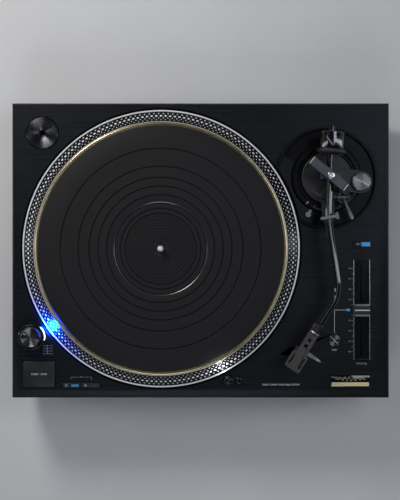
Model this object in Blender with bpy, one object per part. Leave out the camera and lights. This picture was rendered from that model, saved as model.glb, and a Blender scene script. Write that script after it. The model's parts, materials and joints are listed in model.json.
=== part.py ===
"""A direct-drive turntable with an S-shaped tonearm, built from separate pieces.

Units are metres, +Z is up and the table it stands on is z = 0. The origin is under the middle of the plinth:
+X runs to the tonearm side and +Y to the back, where the sockets are.
"""

import math

import bmesh
import bpy
from mathutils import Matrix, Vector

for old in list(bpy.data.objects):
    bpy.data.objects.remove(old, do_unlink=True)

# ---------------------------------------------------------------- driving dimensions
GAP = 0.0003  # clearance between pieces that touch

PLINTH_WIDTH = 0.453
PLINTH_DEPTH = 0.354
FOOT_TOP = 0.0280
BASE_TOP = 0.0417
CHASSIS_TOP = 0.0597
CABINET_TOP = 0.0957
DECK_BOTTOM = 0.0960
DECK_TOP = 0.1060
WALL = 0.0050

PLATTER_AXIS = Vector((-0.0473, 0.0022, 0.0))
PLATTER_RADIUS = 0.1662
WELL_RADIUS = 0.1690
PLATTER_BOTTOM = 0.0972
BRASS_RADIUS = 0.1499
BRASS_TOP = 0.1210
MAT_RADIUS = 0.1467
MAT_TOP = 0.1260
SPINDLE_RADIUS = 0.00355
SPINDLE_TOP = 0.1382
SHAFT_RADIUS = 0.0050
PLATTER_UNDERSIDE = 0.1112
BRASS_THICKNESS = 0.0020

ARM_PIVOT = Vector((0.1505, 0.0866, 0.0))
ARM_AXIS_HEIGHT = 0.1460
ARM_BASE_RADIUS = 0.0605
DIAL_RADIUS = 0.0416
TUBE_RADIUS = 0.0046
HEADSHELL_FRONT = Vector((0.1056, -0.1383, 0.0))
HEADSHELL_LENGTH = 0.0490
STRAIGHT_HEADING = -93.0  # degrees, from the pivot towards the front
HEADSHELL_HEADING = -122.3
REAR_HEADING = STRAIGHT_HEADING + 180.0
BRIDGE_HEADING = 141.0
ARM_NECK_RADIUS = 0.0440
PLATFORM_TOP = 0.1215
ANTI_SKATE_OFFSET = Vector((0.0397, -0.0052, 0.0))
CUE_SHAFT_OFFSET = Vector((0.0, -0.0235, 0.0))
CUE_SHAFT_HEIGHT = 0.1262
CUE_SHAFT_RADIUS = 0.0022
CUE_EARS_X = ((0.0092, 0.0116), (0.0222, 0.0244))
REST_DISTANCE = 0.0478  # from the pivot, along the straight part of the tube
LIFT_RADIUS = 0.0245
LIFT_STEM_HEADING = -98.0

STROBE_AXIS = Vector((-0.2015, -0.1030, 0.0))
STROBE_NECK_RADIUS = 0.0125
ADAPTOR_AXIS = Vector((-0.1900, 0.1410, 0.0))
ADAPTOR_RADIUS = 0.0192
ADAPTOR_FLOOR = DECK_TOP - 0.0070
LAMP_AXIS = Vector((0.0331, -0.1552, 0.0))
LAMP_RADIUS = 0.0053
LAMP_BUTTON_AXIS = Vector((0.0463, -0.1564, 0.0))
LAMP_BUTTON_RADIUS = 0.0044
RESET_AXIS = Vector((0.1608, -0.1080, 0.0))
RESET_RADIUS = 0.0072
START_STOP_CENTRE = Vector((-0.19375, -0.1485, 0.0))
START_STOP_SIZE = (0.0385, 0.0310)
SPEED_ROW_Y = -0.1620
SPEED_33_X = (-0.1660, -0.1436)
SPEED_45_X = (-0.1430, -0.1205)
SPEED_BUTTON_DEPTH = 0.0060
FADER_X = 0.1935
FADER_CENTRE_Y = -0.0715
FADER_TRAVEL = 0.0500
SLOT_PLATE_SIZE = (0.0200, 0.1215)
RANGE_ROW_Y = 0.0075
RANGE_ROW_SIZE = (0.0205, 0.0050)
PLATE_CENTRE = Vector((0.17975, -0.15675, 0.0))
PLATE_SIZE = (0.0465, 0.0135)
PLATE_FLOOR = DECK_TOP - 0.0007
CENTRE_LED = Vector((0.1775, -0.0715, 0.0))
CENTRE_LED_SIZE = (0.0040, 0.0025)
AC_INLET_X = -0.1500
TERMINALS_X = (0.1120, 0.1880)
BACK_Y = PLINTH_DEPTH / 2
STUD_RADIUS = 0.0040
STUD_TOP = 0.0380
FOOT_CENTRES = {
    "front_left": (-0.1850, -0.1380),
    "front_right": (0.1850, -0.1380),
    "rear_left": (-0.1850, 0.1380),
    "rear_right": (0.1850, 0.1380),
}

# Turns an outline drawn as (across, up) so that it stands upright and is pulled along the piece's Y.
UPRIGHT = Matrix(((1, 0, 0, 0), (0, 0, 1, 0), (0, 1, 0, 0), (0, 0, 0, 1)))
# The same, pulled along the piece's X.
UPRIGHT_ALONG_X = Matrix(((0, 0, 1, 0), (1, 0, 0, 0), (0, 1, 0, 0), (0, 0, 0, 1)))
# Lays a piece drawn about Z on its side, so that its top faces the back.
FACING_BACK = Matrix(((1, 0, 0, 0), (0, 0, 1, 0), (0, -1, 0, 0), (0, 0, 0, 1)))

# ---------------------------------------------------------------- materials: colour, roughness, metallic
FINISHES = {
    "black_aluminium": ((0.020, 0.023, 0.028), 0.42, 0.9),
    "black_paint": ((0.012, 0.012, 0.014), 0.45, 0.0),
    "black_gloss": ((0.006, 0.006, 0.008), 0.15, 0.0),
    "black_rubber": ((0.018, 0.018, 0.019), 0.85, 0.0),
    "moulded_black": ((0.015, 0.015, 0.016), 0.60, 0.0),
    "silver": ((0.62, 0.63, 0.65), 0.25, 1.0),
    "steel": ((0.45, 0.46, 0.48), 0.30, 1.0),
    "brass": ((0.80, 0.58, 0.22), 0.25, 1.0),
    "copper": ((0.72, 0.36, 0.18), 0.40, 1.0),
    "circuit_green": ((0.03, 0.16, 0.07), 0.50, 0.0),
    "clear_lens": ((0.75, 0.85, 1.00), 0.10, 0.0),
    "blue_lamp": ((0.10, 0.35, 1.00), 0.30, 0.0),
}


def finish(name):
    """The Principled material of one finish, made once."""
    found = bpy.data.materials.get(name)
    if found:
        return found
    colour, roughness, metallic = FINISHES[name]
    made = bpy.data.materials.new(name)
    made.use_nodes = True
    shader = made.node_tree.nodes["Principled BSDF"]
    shader.inputs["Base Color"].default_value = (*colour, 1.0)
    shader.inputs["Roughness"].default_value = roughness
    shader.inputs["Metallic"].default_value = metallic
    made.diffuse_color = (*colour, 1.0)
    return made


# ---------------------------------------------------------------- shapes added to a bmesh
def heading(degrees):
    """The level unit vector at an angle from +X, turning towards +Y."""
    return Vector((math.cos(math.radians(degrees)), math.sin(math.radians(degrees)), 0.0))


def arc(radius, start, end, steps, centre=(0.0, 0.0)):
    """Points along an arc in a plane, from one angle to another in degrees."""
    angles = [math.radians(start + (end - start) * i / steps) for i in range(steps + 1)]
    return [(centre[0] + radius * math.cos(a), centre[1] + radius * math.sin(a)) for a in angles]


def add_box(bm, low, high, bevel=0.0):
    """A box between two corners, its upright and top edges rounded when a bevel is given."""
    size = [h - l for l, h in zip(low, high)]
    middle = [(h + l) / 2 for l, h in zip(low, high)]
    place = Matrix.Translation(middle) @ Matrix.Diagonal((*size, 1.0))
    corners = bmesh.ops.create_cube(bm, size=1.0, matrix=place)["verts"]
    if bevel:
        top = high[2] - 1e-6
        edges = {e for v in corners for e in v.link_edges}
        chosen = [e for e in edges if max(v.co.z for v in e.verts) > top]
        bmesh.ops.bevel(bm, geom=chosen, offset=bevel, segments=2, profile=0.5, affect="EDGES")


def add_cylinder(bm, radius, bottom, top, steps, centre=(0.0, 0.0)):
    """An upright cylinder."""
    place = Matrix.Translation((centre[0], centre[1], (bottom + top) / 2))
    bmesh.ops.create_cone(bm, cap_ends=True, segments=steps, radius1=radius, radius2=radius,
                          depth=top - bottom, matrix=place)


def add_rod(bm, radius, start, end, steps):
    """A cylinder between any two points."""
    start, end = Vector(start), Vector(end)
    along = end - start
    place = Matrix.Translation((start + end) / 2) @ along.to_track_quat("Z", "Y").to_matrix().to_4x4()
    bmesh.ops.create_cone(bm, cap_ends=True, segments=steps, radius1=radius, radius2=radius,
                          depth=along.length, matrix=place)


def add_prism(bm, outline, bottom, top, place=Matrix.Identity(4)):
    """A flat outline pulled up from one height to another, then placed."""
    face = bm.faces.new([bm.verts.new(place @ Vector((x, y, bottom))) for x, y in outline])
    pulled = bmesh.ops.extrude_face_region(bm, geom=[face])["geom"]
    lift = place.to_3x3() @ Vector((0.0, 0.0, top - bottom))
    bmesh.ops.translate(bm, vec=lift, verts=[g for g in pulled if isinstance(g, bmesh.types.BMVert)])


def add_stack(bm, levels):
    """A solid through rectangles of different sizes, given as (outline, height) from the bottom up."""
    rings = [[bm.verts.new((x, y, z)) for x, y in outline] for outline, z in levels]
    bm.faces.new(rings[0])
    bm.faces.new(rings[-1])
    for lower, upper in zip(rings, rings[1:]):
        for i in range(4):
            j = (i + 1) % 4
            bm.faces.new((lower[i], lower[j], upper[j], upper[i]))


def add_turned(bm, profile, steps, closed):
    """A profile of (radius, height) points spun about Z. A closed profile makes a ring with a bore."""
    verts = [bm.verts.new((r, 0.0, z)) for r, z in profile]
    pairs = list(zip(verts, verts[1:]))
    if closed:
        pairs.append((verts[-1], verts[0]))
    edges = [bm.edges.new(pair) for pair in pairs]
    bmesh.ops.spin(bm, geom=verts + edges, cent=(0, 0, 0), axis=(0, 0, 1), angle=math.tau,
                   steps=steps, use_merge=True)
    bmesh.ops.remove_doubles(bm, verts=bm.verts, dist=1e-6)


def capsule(start, end, radius, steps=8):
    """The outline of a rounded bar between two points of a plane."""
    start, end = Vector(start), Vector(end)
    angle = math.degrees(math.atan2(end.y - start.y, end.x - start.x))
    return arc(radius, angle - 90, angle + 90, steps, end) + arc(radius, angle + 90, angle + 270, steps, start)


def ring_sector(inner, outer, start, end, steps):
    """The outline of part of a flat ring."""
    return arc(outer, start, end, steps) + arc(inner, end, start, steps)


def rectangle(x_low, x_high, y_low, y_high):
    """The outline of a rectangle."""
    return [(x_low, y_low), (x_high, y_low), (x_high, y_high), (x_low, y_high)]


# ---------------------------------------------------------------- objects
def make(name, finish_name, build, place=(0.0, 0.0, 0.0), turn=0.0, parent=None, smooth=True):
    """One named piece, whose shape is drawn about its own origin by the build function."""
    bm = bmesh.new()
    build(bm)
    bmesh.ops.recalc_face_normals(bm, faces=bm.faces)
    mesh = bpy.data.meshes.new(name)
    bm.to_mesh(mesh)
    bm.free()
    if smooth:
        mesh.shade_smooth()
        mesh.set_sharp_from_angle(angle=math.radians(35))
    return place_mesh(name, mesh, finish_name, place, turn, parent)


def place_mesh(name, mesh, finish_name, place=(0.0, 0.0, 0.0), turn=0.0, parent=None):
    """An object for a mesh, placed in the world and then hung on its parent."""
    piece = bpy.data.objects.new(name, mesh)
    bpy.context.collection.objects.link(piece)
    if finish_name and not mesh.materials:
        mesh.materials.append(finish(finish_name))
    piece.location = place
    piece.rotation_euler = (0.0, 0.0, math.radians(turn))
    if parent:
        piece.parent = parent
        piece.matrix_parent_inverse = parent.matrix_world.inverted()
    return piece


def axis_empty(name, place):
    """An empty on a joint's axis, which carries the pieces that turn or slide together."""
    empty = bpy.data.objects.new(name, None)
    empty.empty_display_size = 0.02
    empty.location = place
    bpy.context.collection.objects.link(empty)
    bpy.context.view_layer.update()
    return empty


def combine(piece, build, operation="DIFFERENCE"):
    """Cuts a hidden helper shape from a piece, or joins it on. The helper is drawn in the piece's own frame."""
    helper = make(f"{piece.name}_{operation.lower()}_{len(piece.modifiers)}", None, build, smooth=False)
    bpy.context.view_layer.update()
    helper.matrix_world = piece.matrix_world.copy()
    helper.hide_render = True
    helper.display_type = "WIRE"
    step = piece.modifiers.new(operation.title(), "BOOLEAN")
    step.operation = operation
    step.solver = "EXACT"
    step.object = helper


def build_all(*builders):
    """One build function that draws several shapes, which must not touch each other."""
    def draw(bm):
        for builder in builders:
            builder(bm)
    return draw


def box(low, high, bevel=0.0):
    return lambda bm: add_box(bm, low, high, bevel)


def cylinder(radius, bottom, top, steps, centre=(0.0, 0.0)):
    return lambda bm: add_cylinder(bm, radius, bottom, top, steps, centre)


def rod(radius, start, end, steps):
    return lambda bm: add_rod(bm, radius, start, end, steps)


def prism(outline, bottom, top, place=Matrix.Identity(4)):
    return lambda bm: add_prism(bm, outline, bottom, top, place)


def stack(levels):
    return lambda bm: add_stack(bm, levels)


def turned(profile, steps, closed=False):
    return lambda bm: add_turned(bm, profile, steps, closed)


# ---------------------------------------------------------------- plinth
def top_panel():
    """The thick deck plate: square below, sloped back to its top face, with a broad slope in front."""
    slope_drop = 0.0028
    side_slope, rear_slope, front_slope = 0.0025, 0.0015, 0.0070
    half_w, half_d = PLINTH_WIDTH / 2, PLINTH_DEPTH / 2
    outer = rectangle(-half_w, half_w, -half_d, half_d)
    inner = rectangle(-half_w + side_slope, half_w - side_slope, -half_d + front_slope, half_d - rear_slope)

    levels = ((outer, DECK_BOTTOM), (outer, DECK_TOP - slope_drop), (inner, DECK_TOP))
    deck = make("top_panel", "black_aluminium", stack(levels))
    under, over = DECK_BOTTOM - 0.001, DECK_TOP + 0.001
    edge = 0.0003

    def opening(centre, size):
        x, y = centre[0], centre[1]
        w, d = size[0] / 2 + edge, size[1] / 2 + edge
        return box((x - w, y - d, under), (x + w, y + d, over))

    speed_x = (SPEED_33_X[0] + SPEED_45_X[1]) / 2
    speed_w = SPEED_45_X[1] - SPEED_33_X[0]
    plate_w, plate_d = PLATE_SIZE[0] / 2 + edge, PLATE_SIZE[1] / 2 + edge
    cuts = build_all(
        cylinder(WELL_RADIUS, under, over, 96, PLATTER_AXIS),
        cylinder(ARM_NECK_RADIUS + edge, under, over, 64, ARM_PIVOT),
        cylinder(ADAPTOR_RADIUS + 0.0005, ADAPTOR_FLOOR, over, 48, ADAPTOR_AXIS),
        cylinder(STROBE_NECK_RADIUS + edge, under, over, 32, STROBE_AXIS),
        cylinder(LAMP_RADIUS + edge, under, over, 24, LAMP_AXIS),
        cylinder(LAMP_BUTTON_RADIUS + edge, under, over, 24, LAMP_BUTTON_AXIS),
        cylinder(RESET_RADIUS + edge, under, over, 32, RESET_AXIS),
        opening(START_STOP_CENTRE, START_STOP_SIZE),
        opening((speed_x, SPEED_ROW_Y), (speed_w, SPEED_BUTTON_DEPTH)),
        opening((FADER_X, FADER_CENTRE_Y), SLOT_PLATE_SIZE),
        opening((FADER_X, RANGE_ROW_Y), RANGE_ROW_SIZE),
        opening(CENTRE_LED, CENTRE_LED_SIZE),
        box((PLATE_CENTRE.x - plate_w, PLATE_CENTRE.y - plate_d, PLATE_FLOOR),
            (PLATE_CENTRE.x + plate_w, PLATE_CENTRE.y + plate_d, over)),
    )
    combine(deck, cuts)


def cabinet():
    """The die-cast body: four walls and a web under the deck, open below, cut where other pieces pass."""
    half_w, half_d = PLINTH_WIDTH / 2, PLINTH_DEPTH / 2
    bottom = CHASSIS_TOP + GAP
    web_bottom = CABINET_TOP - 0.004
    over = CABINET_TOP + 0.001
    body = make("cabinet", "black_paint", box((-half_w, -half_d, bottom), (half_w, half_d, CABINET_TOP)))
    inside_w, inside_d = half_w - WALL, half_d - WALL
    combine(body, box((-inside_w, -inside_d, bottom - 0.001), (inside_w, inside_d, web_bottom)))
    combine(body, build_all(
        cylinder(0.070, web_bottom - 0.001, over, 48, PLATTER_AXIS),
        cylinder(0.0302, web_bottom - 0.001, over, 32, ARM_PIVOT),
        cylinder(LAMP_RADIUS + 0.0006, web_bottom - 0.001, over, 16, LAMP_AXIS),
        box((FADER_X - 0.0085, -0.1310, web_bottom - 0.001), (FADER_X + 0.0085, -0.0120, over)),
        box((AC_INLET_X - 0.0150, half_d - 0.010, 0.0660), (AC_INLET_X + 0.0150, half_d + 0.001, 0.0880)),
        box((TERMINALS_X[0], half_d - 0.010, 0.0650), (TERMINALS_X[1], half_d + 0.001, 0.0900)),
    ))


def chassis_layer():
    """The heavy moulded tray under the cabinet, bored for the motor bearing."""
    half_w, half_d = PLINTH_WIDTH / 2, PLINTH_DEPTH / 2
    tray = make("chassis_layer", "moulded_black",
                box((-half_w, -half_d, BASE_TOP + GAP), (half_w, half_d, CHASSIS_TOP)))
    combine(tray, cylinder(0.020, BASE_TOP - 0.001, CHASSIS_TOP + 0.001, 32, PLATTER_AXIS))


def bottom_base():
    """The dense rubber base, stepped in from the layers above, with blind holes for the feet's studs."""
    inset, chamfer = 0.0020, 0.0030
    half_w, half_d = PLINTH_WIDTH / 2 - inset, PLINTH_DEPTH / 2 - inset

    outer = rectangle(-half_w, half_w, -half_d, half_d)
    inner = rectangle(-half_w + chamfer, half_w - chamfer, -half_d + chamfer, half_d - chamfer)
    levels = ((inner, FOOT_TOP + GAP), (outer, FOOT_TOP + GAP + chamfer), (outer, BASE_TOP))
    base = make("bottom_base", "black_rubber", stack(levels))
    hole_radius, hole_top = STUD_RADIUS + 0.0004, STUD_TOP + 0.0015
    holes = [cylinder(hole_radius, FOOT_TOP - 0.001, hole_top, 16, centre) for centre in FOOT_CENTRES.values()]
    combine(base, build_all(*holes))


def feet():
    """Four screw-in isolating feet that share one turned shape."""
    foot_radius, sole_radius, neck_radius = 0.0290, 0.0252, 0.0240
    neck_top = FOOT_TOP - 0.0001
    profile = [(0.0, 0.0), (sole_radius, 0.0), (foot_radius, 0.0036), (foot_radius, 0.0200),
               (neck_radius, neck_top), (STUD_RADIUS, neck_top), (STUD_RADIUS, STUD_TOP), (0.0, STUD_TOP)]
    first = None
    for corner, (x, y) in FOOT_CENTRES.items():
        name = f"foot_{corner}"
        if first is None:
            first = make(name, "black_rubber", turned(profile, 24), (x, y, 0.0))
        else:
            place_mesh(name, first.data, "black_rubber", (x, y, 0.0))


# ---------------------------------------------------------------- platter and motor
def platter_group():
    """The platter with its brass plate, mat and damping ring, screwed to the upper rotor on the spindle."""
    axis = axis_empty("platter_axis", PLATTER_AXIS)
    bore = SPINDLE_RADIUS + 0.0004
    seat = BRASS_TOP - BRASS_THICKNESS - GAP
    underside = PLATTER_UNDERSIDE
    boss_radius, boss_bottom = 0.0340, 0.0985
    rim_top, lip_top = 0.1090, BRASS_TOP + 0.0002
    slope_top_radius, slope_foot_radius = 0.1511, 0.1636
    make("platter", "silver", turned([
        (bore, seat), (BRASS_RADIUS + GAP, seat), (BRASS_RADIUS + GAP, lip_top), (slope_top_radius, lip_top),
        (slope_foot_radius, rim_top), (PLATTER_RADIUS, rim_top), (PLATTER_RADIUS, PLATTER_BOTTOM),
        (0.1600, PLATTER_BOTTOM), (0.1580, underside), (boss_radius, underside), (boss_radius, boss_bottom),
        (bore, boss_bottom)], 72, closed=True), PLATTER_AXIS, parent=axis)
    make("brass_plate", "brass", turned([
        (bore, seat + GAP), (BRASS_RADIUS, seat + GAP), (BRASS_RADIUS, BRASS_TOP - 0.0006),
        (BRASS_RADIUS - 0.0006, BRASS_TOP), (bore, BRASS_TOP)], 72, closed=True), PLATTER_AXIS, parent=axis)
    make("platter_mat", "black_rubber", turned([
        (bore, BRASS_TOP + GAP), (MAT_RADIUS, BRASS_TOP + GAP), (MAT_RADIUS, MAT_TOP - 0.0010),
        (MAT_RADIUS - 0.0010, MAT_TOP), (bore, MAT_TOP)], 72, closed=True), PLATTER_AXIS, parent=axis)
    make("platter_damper", "black_rubber", turned([
        (0.0800, underside - GAP), (0.1560, underside - GAP), (0.1560, underside - 0.0040),
        (0.0800, underside - 0.0040)], 32, closed=True), PLATTER_AXIS, parent=axis)
    rotor_bore = SHAFT_RADIUS + GAP
    make("rotor_upper", "steel", turned([
        (rotor_bore, boss_bottom - GAP), (0.0300, boss_bottom - GAP), (0.0300, 0.0905), (0.0660, 0.0905),
        (0.0660, 0.0835), (0.0250, 0.0835), (0.0250, 0.0870), (rotor_bore, 0.0870)], 28, closed=True),
        PLATTER_AXIS, parent=axis)
    make("rotor_lower", "steel", turned([
        (rotor_bore, 0.0725), (0.0640, 0.0725), (0.0640, 0.0665), (rotor_bore, 0.0665)], 24, closed=True),
        PLATTER_AXIS, parent=axis)
    shoulder = boss_bottom - GAP
    make("spindle", "silver", turned([
        (0.0, SPINDLE_TOP), (0.0018, SPINDLE_TOP - 0.0004), (0.0030, SPINDLE_TOP - 0.0016),
        (SPINDLE_RADIUS, SPINDLE_TOP - 0.0034), (SPINDLE_RADIUS, shoulder), (SHAFT_RADIUS, shoulder),
        (SHAFT_RADIUS, 0.0480), (0.0, 0.0480)], 20), PLATTER_AXIS, parent=axis)


def motor():
    """The fixed half of the motor: its frame with the bearing housing, and the coils between the rotors."""
    bearing_bore = SHAFT_RADIUS + GAP
    frame_floor = CHASSIS_TOP + 2 * GAP
    make("motor_base", "steel", turned([
        (0.0, 0.0470), (bearing_bore, 0.0470), (bearing_bore, 0.0655), (0.0120, 0.0655),
        (0.0135, frame_floor + 0.0040), (0.0690, frame_floor + 0.0040), (0.0690, 0.0740), (0.0740, 0.0740),
        (0.0740, frame_floor), (0.0130, frame_floor), (0.0120, 0.0440), (0.0, 0.0440)], 24), PLATTER_AXIS)
    coils = make("stator_coils", "copper", turned([
        (0.0160, 0.0770), (0.0740, 0.0770), (0.0740, 0.0743), (0.0160, 0.0743)], 24, closed=True), PLATTER_AXIS)
    coil_count, coil_circle, coil_radius = 9, 0.0440, 0.0130
    spots = [heading(360 * i / coil_count) * coil_circle for i in range(coil_count)]
    combine(coils, build_all(*[cylinder(coil_radius, 0.0760, 0.0810, 8, spot) for spot in spots]), "UNION")


# ---------------------------------------------------------------- controls
def adaptor():
    """The single-record adaptor, a shallow turned cone with a spindle hole, resting in its recess."""
    floor = ADAPTOR_FLOOR + GAP
    make("adaptor_45", "silver", turned([
        (0.0037, floor), (ADAPTOR_RADIUS, floor), (ADAPTOR_RADIUS, DECK_TOP + 0.0012),
        (ADAPTOR_RADIUS - 0.0010, DECK_TOP + 0.0022), (0.0070, DECK_TOP + 0.0030), (0.0055, DECK_TOP + 0.0024),
        (0.0037, DECK_TOP + 0.0024)], 36, closed=True), ADAPTOR_AXIS)


def buttons():
    """The push buttons of the deck."""
    foot = DECK_BOTTOM + 0.0020
    half_w, half_d = START_STOP_SIZE[0] / 2, START_STOP_SIZE[1] / 2
    make("start_stop_button", "black_paint",
         box((-half_w, -half_d, foot), (half_w, half_d, DECK_TOP + 0.0020), 0.0006), START_STOP_CENTRE)
    for name, (low, high) in (("speed_33_button", SPEED_33_X), ("speed_45_button", SPEED_45_X)):
        half = (high - low) / 2
        deep = SPEED_BUTTON_DEPTH / 2
        make(name, "black_paint", box((-half, -deep, foot), (half, deep, DECK_TOP + 0.0014), 0.0005),
             ((low + high) / 2, SPEED_ROW_Y, 0.0))
    make("target_lamp_button", "black_paint", turned([
        (0.0, foot), (LAMP_BUTTON_RADIUS, foot), (LAMP_BUTTON_RADIUS, DECK_TOP + 0.0012),
        (LAMP_BUTTON_RADIUS - 0.0006, DECK_TOP + 0.0018), (0.0, DECK_TOP + 0.0018)], 20), LAMP_BUTTON_AXIS)
    make("reset_button", "silver", turned([
        (0.0, foot), (RESET_RADIUS, foot), (RESET_RADIUS, DECK_TOP + 0.0012),
        (RESET_RADIUS - 0.0008, DECK_TOP + 0.0020), (0.0, DECK_TOP + 0.0016)], 24), RESET_AXIS)
    half, deep = RANGE_ROW_SIZE[0] / 2, RANGE_ROW_SIZE[1] / 2
    row = Vector((FADER_X, RANGE_ROW_Y, 0.0))
    make("pitch_range_button", "steel", box((-half, -deep, foot), (-GAP, deep, DECK_TOP + 0.0012), 0.0004), row)
    make("pitch_range_led", "blue_lamp", box((GAP, -deep, foot), (half, deep, DECK_TOP + 0.0004)), row)
    led_w, led_d = CENTRE_LED_SIZE[0] / 2, CENTRE_LED_SIZE[1] / 2
    make("pitch_centre_led", "blue_lamp",
         box((-led_w, -led_d, foot), (led_w, led_d, DECK_TOP + 0.0004)), CENTRE_LED)


def target_lamp():
    """The pop-up stylus lamp: a round stalk whose window, in a slanted notch, faces the platter."""
    top = DECK_TOP + 0.0120
    bottom, chamfer = 0.0850, 0.0008
    lamp = make("target_lamp", "silver", turned([
        (0.0, bottom), (LAMP_RADIUS, bottom), (LAMP_RADIUS, top - chamfer), (LAMP_RADIUS - chamfer, top),
        (0.0, top)], 24), LAMP_AXIS)
    to_platter = PLATTER_AXIS - LAMP_AXIS
    lamp.rotation_euler.z = math.atan2(to_platter.y, to_platter.x)
    combine(lamp, box((0.0030, -0.0028, DECK_TOP + 0.0045), (0.0070, 0.0028, top - 0.0020)))


def strobe():
    """The strobe tower: a round housing with a lit window towards the platter, and the power knob on top."""
    radius, top = 0.0155, 0.1210
    window_start, window_end = -16.0, 50.0
    housing = make("strobe_housing", "silver", turned([
        (0.0090, top), (radius - 0.0008, top), (radius, top - 0.0008), (radius, DECK_TOP + GAP),
        (STROBE_NECK_RADIUS, DECK_TOP + GAP), (STROBE_NECK_RADIUS, DECK_BOTTOM + 0.0010),
        (0.0090, DECK_BOTTOM + 0.0010)], 32, closed=True), STROBE_AXIS)
    low, high = DECK_TOP + 0.0022, top - 0.0028
    combine(housing, prism(ring_sector(0.0120, radius + 0.001, window_start, window_end, 10), low, high))
    make("strobe_lens", "clear_lens", prism(
        ring_sector(0.0123, radius - 0.0002, window_start + 1.5, window_end - 1.5, 10), low + GAP, high - GAP),
        STROBE_AXIS)
    knob_radius = 0.0124
    make("power_knob", "silver", turned([
        (0.0, 0.1060), (0.0040, 0.1060), (0.0040, top + GAP), (knob_radius, top + GAP), (knob_radius, 0.1262),
        (knob_radius - 0.0016, 0.1272), (0.0, 0.1266)], 32), STROBE_AXIS)


def pitch_fader():
    """The sliding pitch control: its framed slot in the deck, the ribbed knob, and the potentiometer below."""
    half_w, half_d = SLOT_PLATE_SIZE[0] / 2, SLOT_PLATE_SIZE[1] / 2
    place = Vector((FADER_X, FADER_CENTRE_Y, 0.0))
    floor = 0.1046
    slit_half = 0.0012
    slit_reach = FADER_TRAVEL + 0.0040
    plate = make("pitch_slot_plate", "black_gloss",
                 box((-half_w, -half_d, 0.1030), (half_w, half_d, DECK_TOP + 0.0006)), place)
    combine(plate, box((-half_w + 0.0014, -half_d + 0.0016, floor), (half_w - 0.0014, half_d - 0.0016, 0.1080)))
    combine(plate, box((-slit_half, -slit_reach, 0.1020), (slit_half, slit_reach, 0.1060)))
    knob_length, knob_half = 0.0140, 0.0092
    base, valley, crest = DECK_TOP + 0.0010, DECK_TOP + 0.0052, DECK_TOP + 0.0078
    outline = [(-knob_length / 2, base), (knob_length / 2, base), (knob_length / 2, crest - 0.0016)]
    for centre in (0.0050, 0.0, -0.0050):
        outline += [(centre + 0.0014, valley), (centre + 0.0009, crest), (centre - 0.0009, crest),
                    (centre - 0.0014, valley)]
    outline += [(-knob_length / 2, crest - 0.0016)]
    knob = make("pitch_fader_knob", "silver", prism(outline, -knob_half, knob_half, UPRIGHT_ALONG_X), place)
    combine(knob, box((-0.0008, -0.0030, 0.0960), (0.0008, 0.0030, base + 0.0010)), "UNION")
    case = make("pitch_potentiometer", "moulded_black",
                box((-0.0065, -0.0585, 0.0880), (0.0065, 0.0585, 0.1000)), place)
    combine(case, box((-0.0014, -slit_reach, 0.0940), (0.0014, slit_reach, 0.1010)))


def edition_plate():
    """The small two-tone plate in its shallow recess."""
    half_w, half_d = PLATE_SIZE[0] / 2, PLATE_SIZE[1] / 2
    make("edition_plate", "brass",
         box((-half_w, -half_d, PLATE_FLOOR + GAP), (half_w, half_d, DECK_TOP + 0.0004), 0.0002), PLATE_CENTRE)


# ---------------------------------------------------------------- electronics and the back
def circuit_boards():
    """The control board behind the front buttons, and the power board near the mains inlet, on their pegs."""
    floor = CHASSIS_TOP + 2 * GAP
    board_bottom, board_top = floor + 0.0050, floor + 0.0066
    control_parts = (((-0.1900, -0.1500), (-0.1650, -0.1250), 0.0080),
                     ((-0.1400, -0.1450), (-0.1150, -0.1200), 0.0050),
                     ((-0.1000, -0.1550), (-0.0850, -0.1150), 0.0120))
    power_parts = (((-0.2000, 0.1000), (-0.1650, 0.1350), 0.0220),
                   ((-0.1500, 0.0950), (-0.1350, 0.1400), 0.0150),
                   ((-0.1250, 0.1050), (-0.1120, 0.1180), 0.0180))
    boards = (("control_board", (-0.2050, -0.1650), (-0.0700, -0.1000), control_parts),
              ("power_board", (-0.2100, 0.0850), (-0.1050, 0.1480), power_parts))
    for name, low, high, parts in boards:
        board = make(name, "circuit_green", box((*low, board_bottom), (*high, board_top)))
        pegs = [cylinder(0.0030, floor, board_bottom + 0.0008, 10, (x, y))
                for x in (low[0] + 0.006, high[0] - 0.006) for y in (low[1] + 0.006, high[1] - 0.006)]
        blocks = [box((*near, board_top - 0.0008), (*far, board_top + height)) for near, far, height in parts]
        combine(board, build_all(*pegs, *blocks), "UNION")


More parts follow.
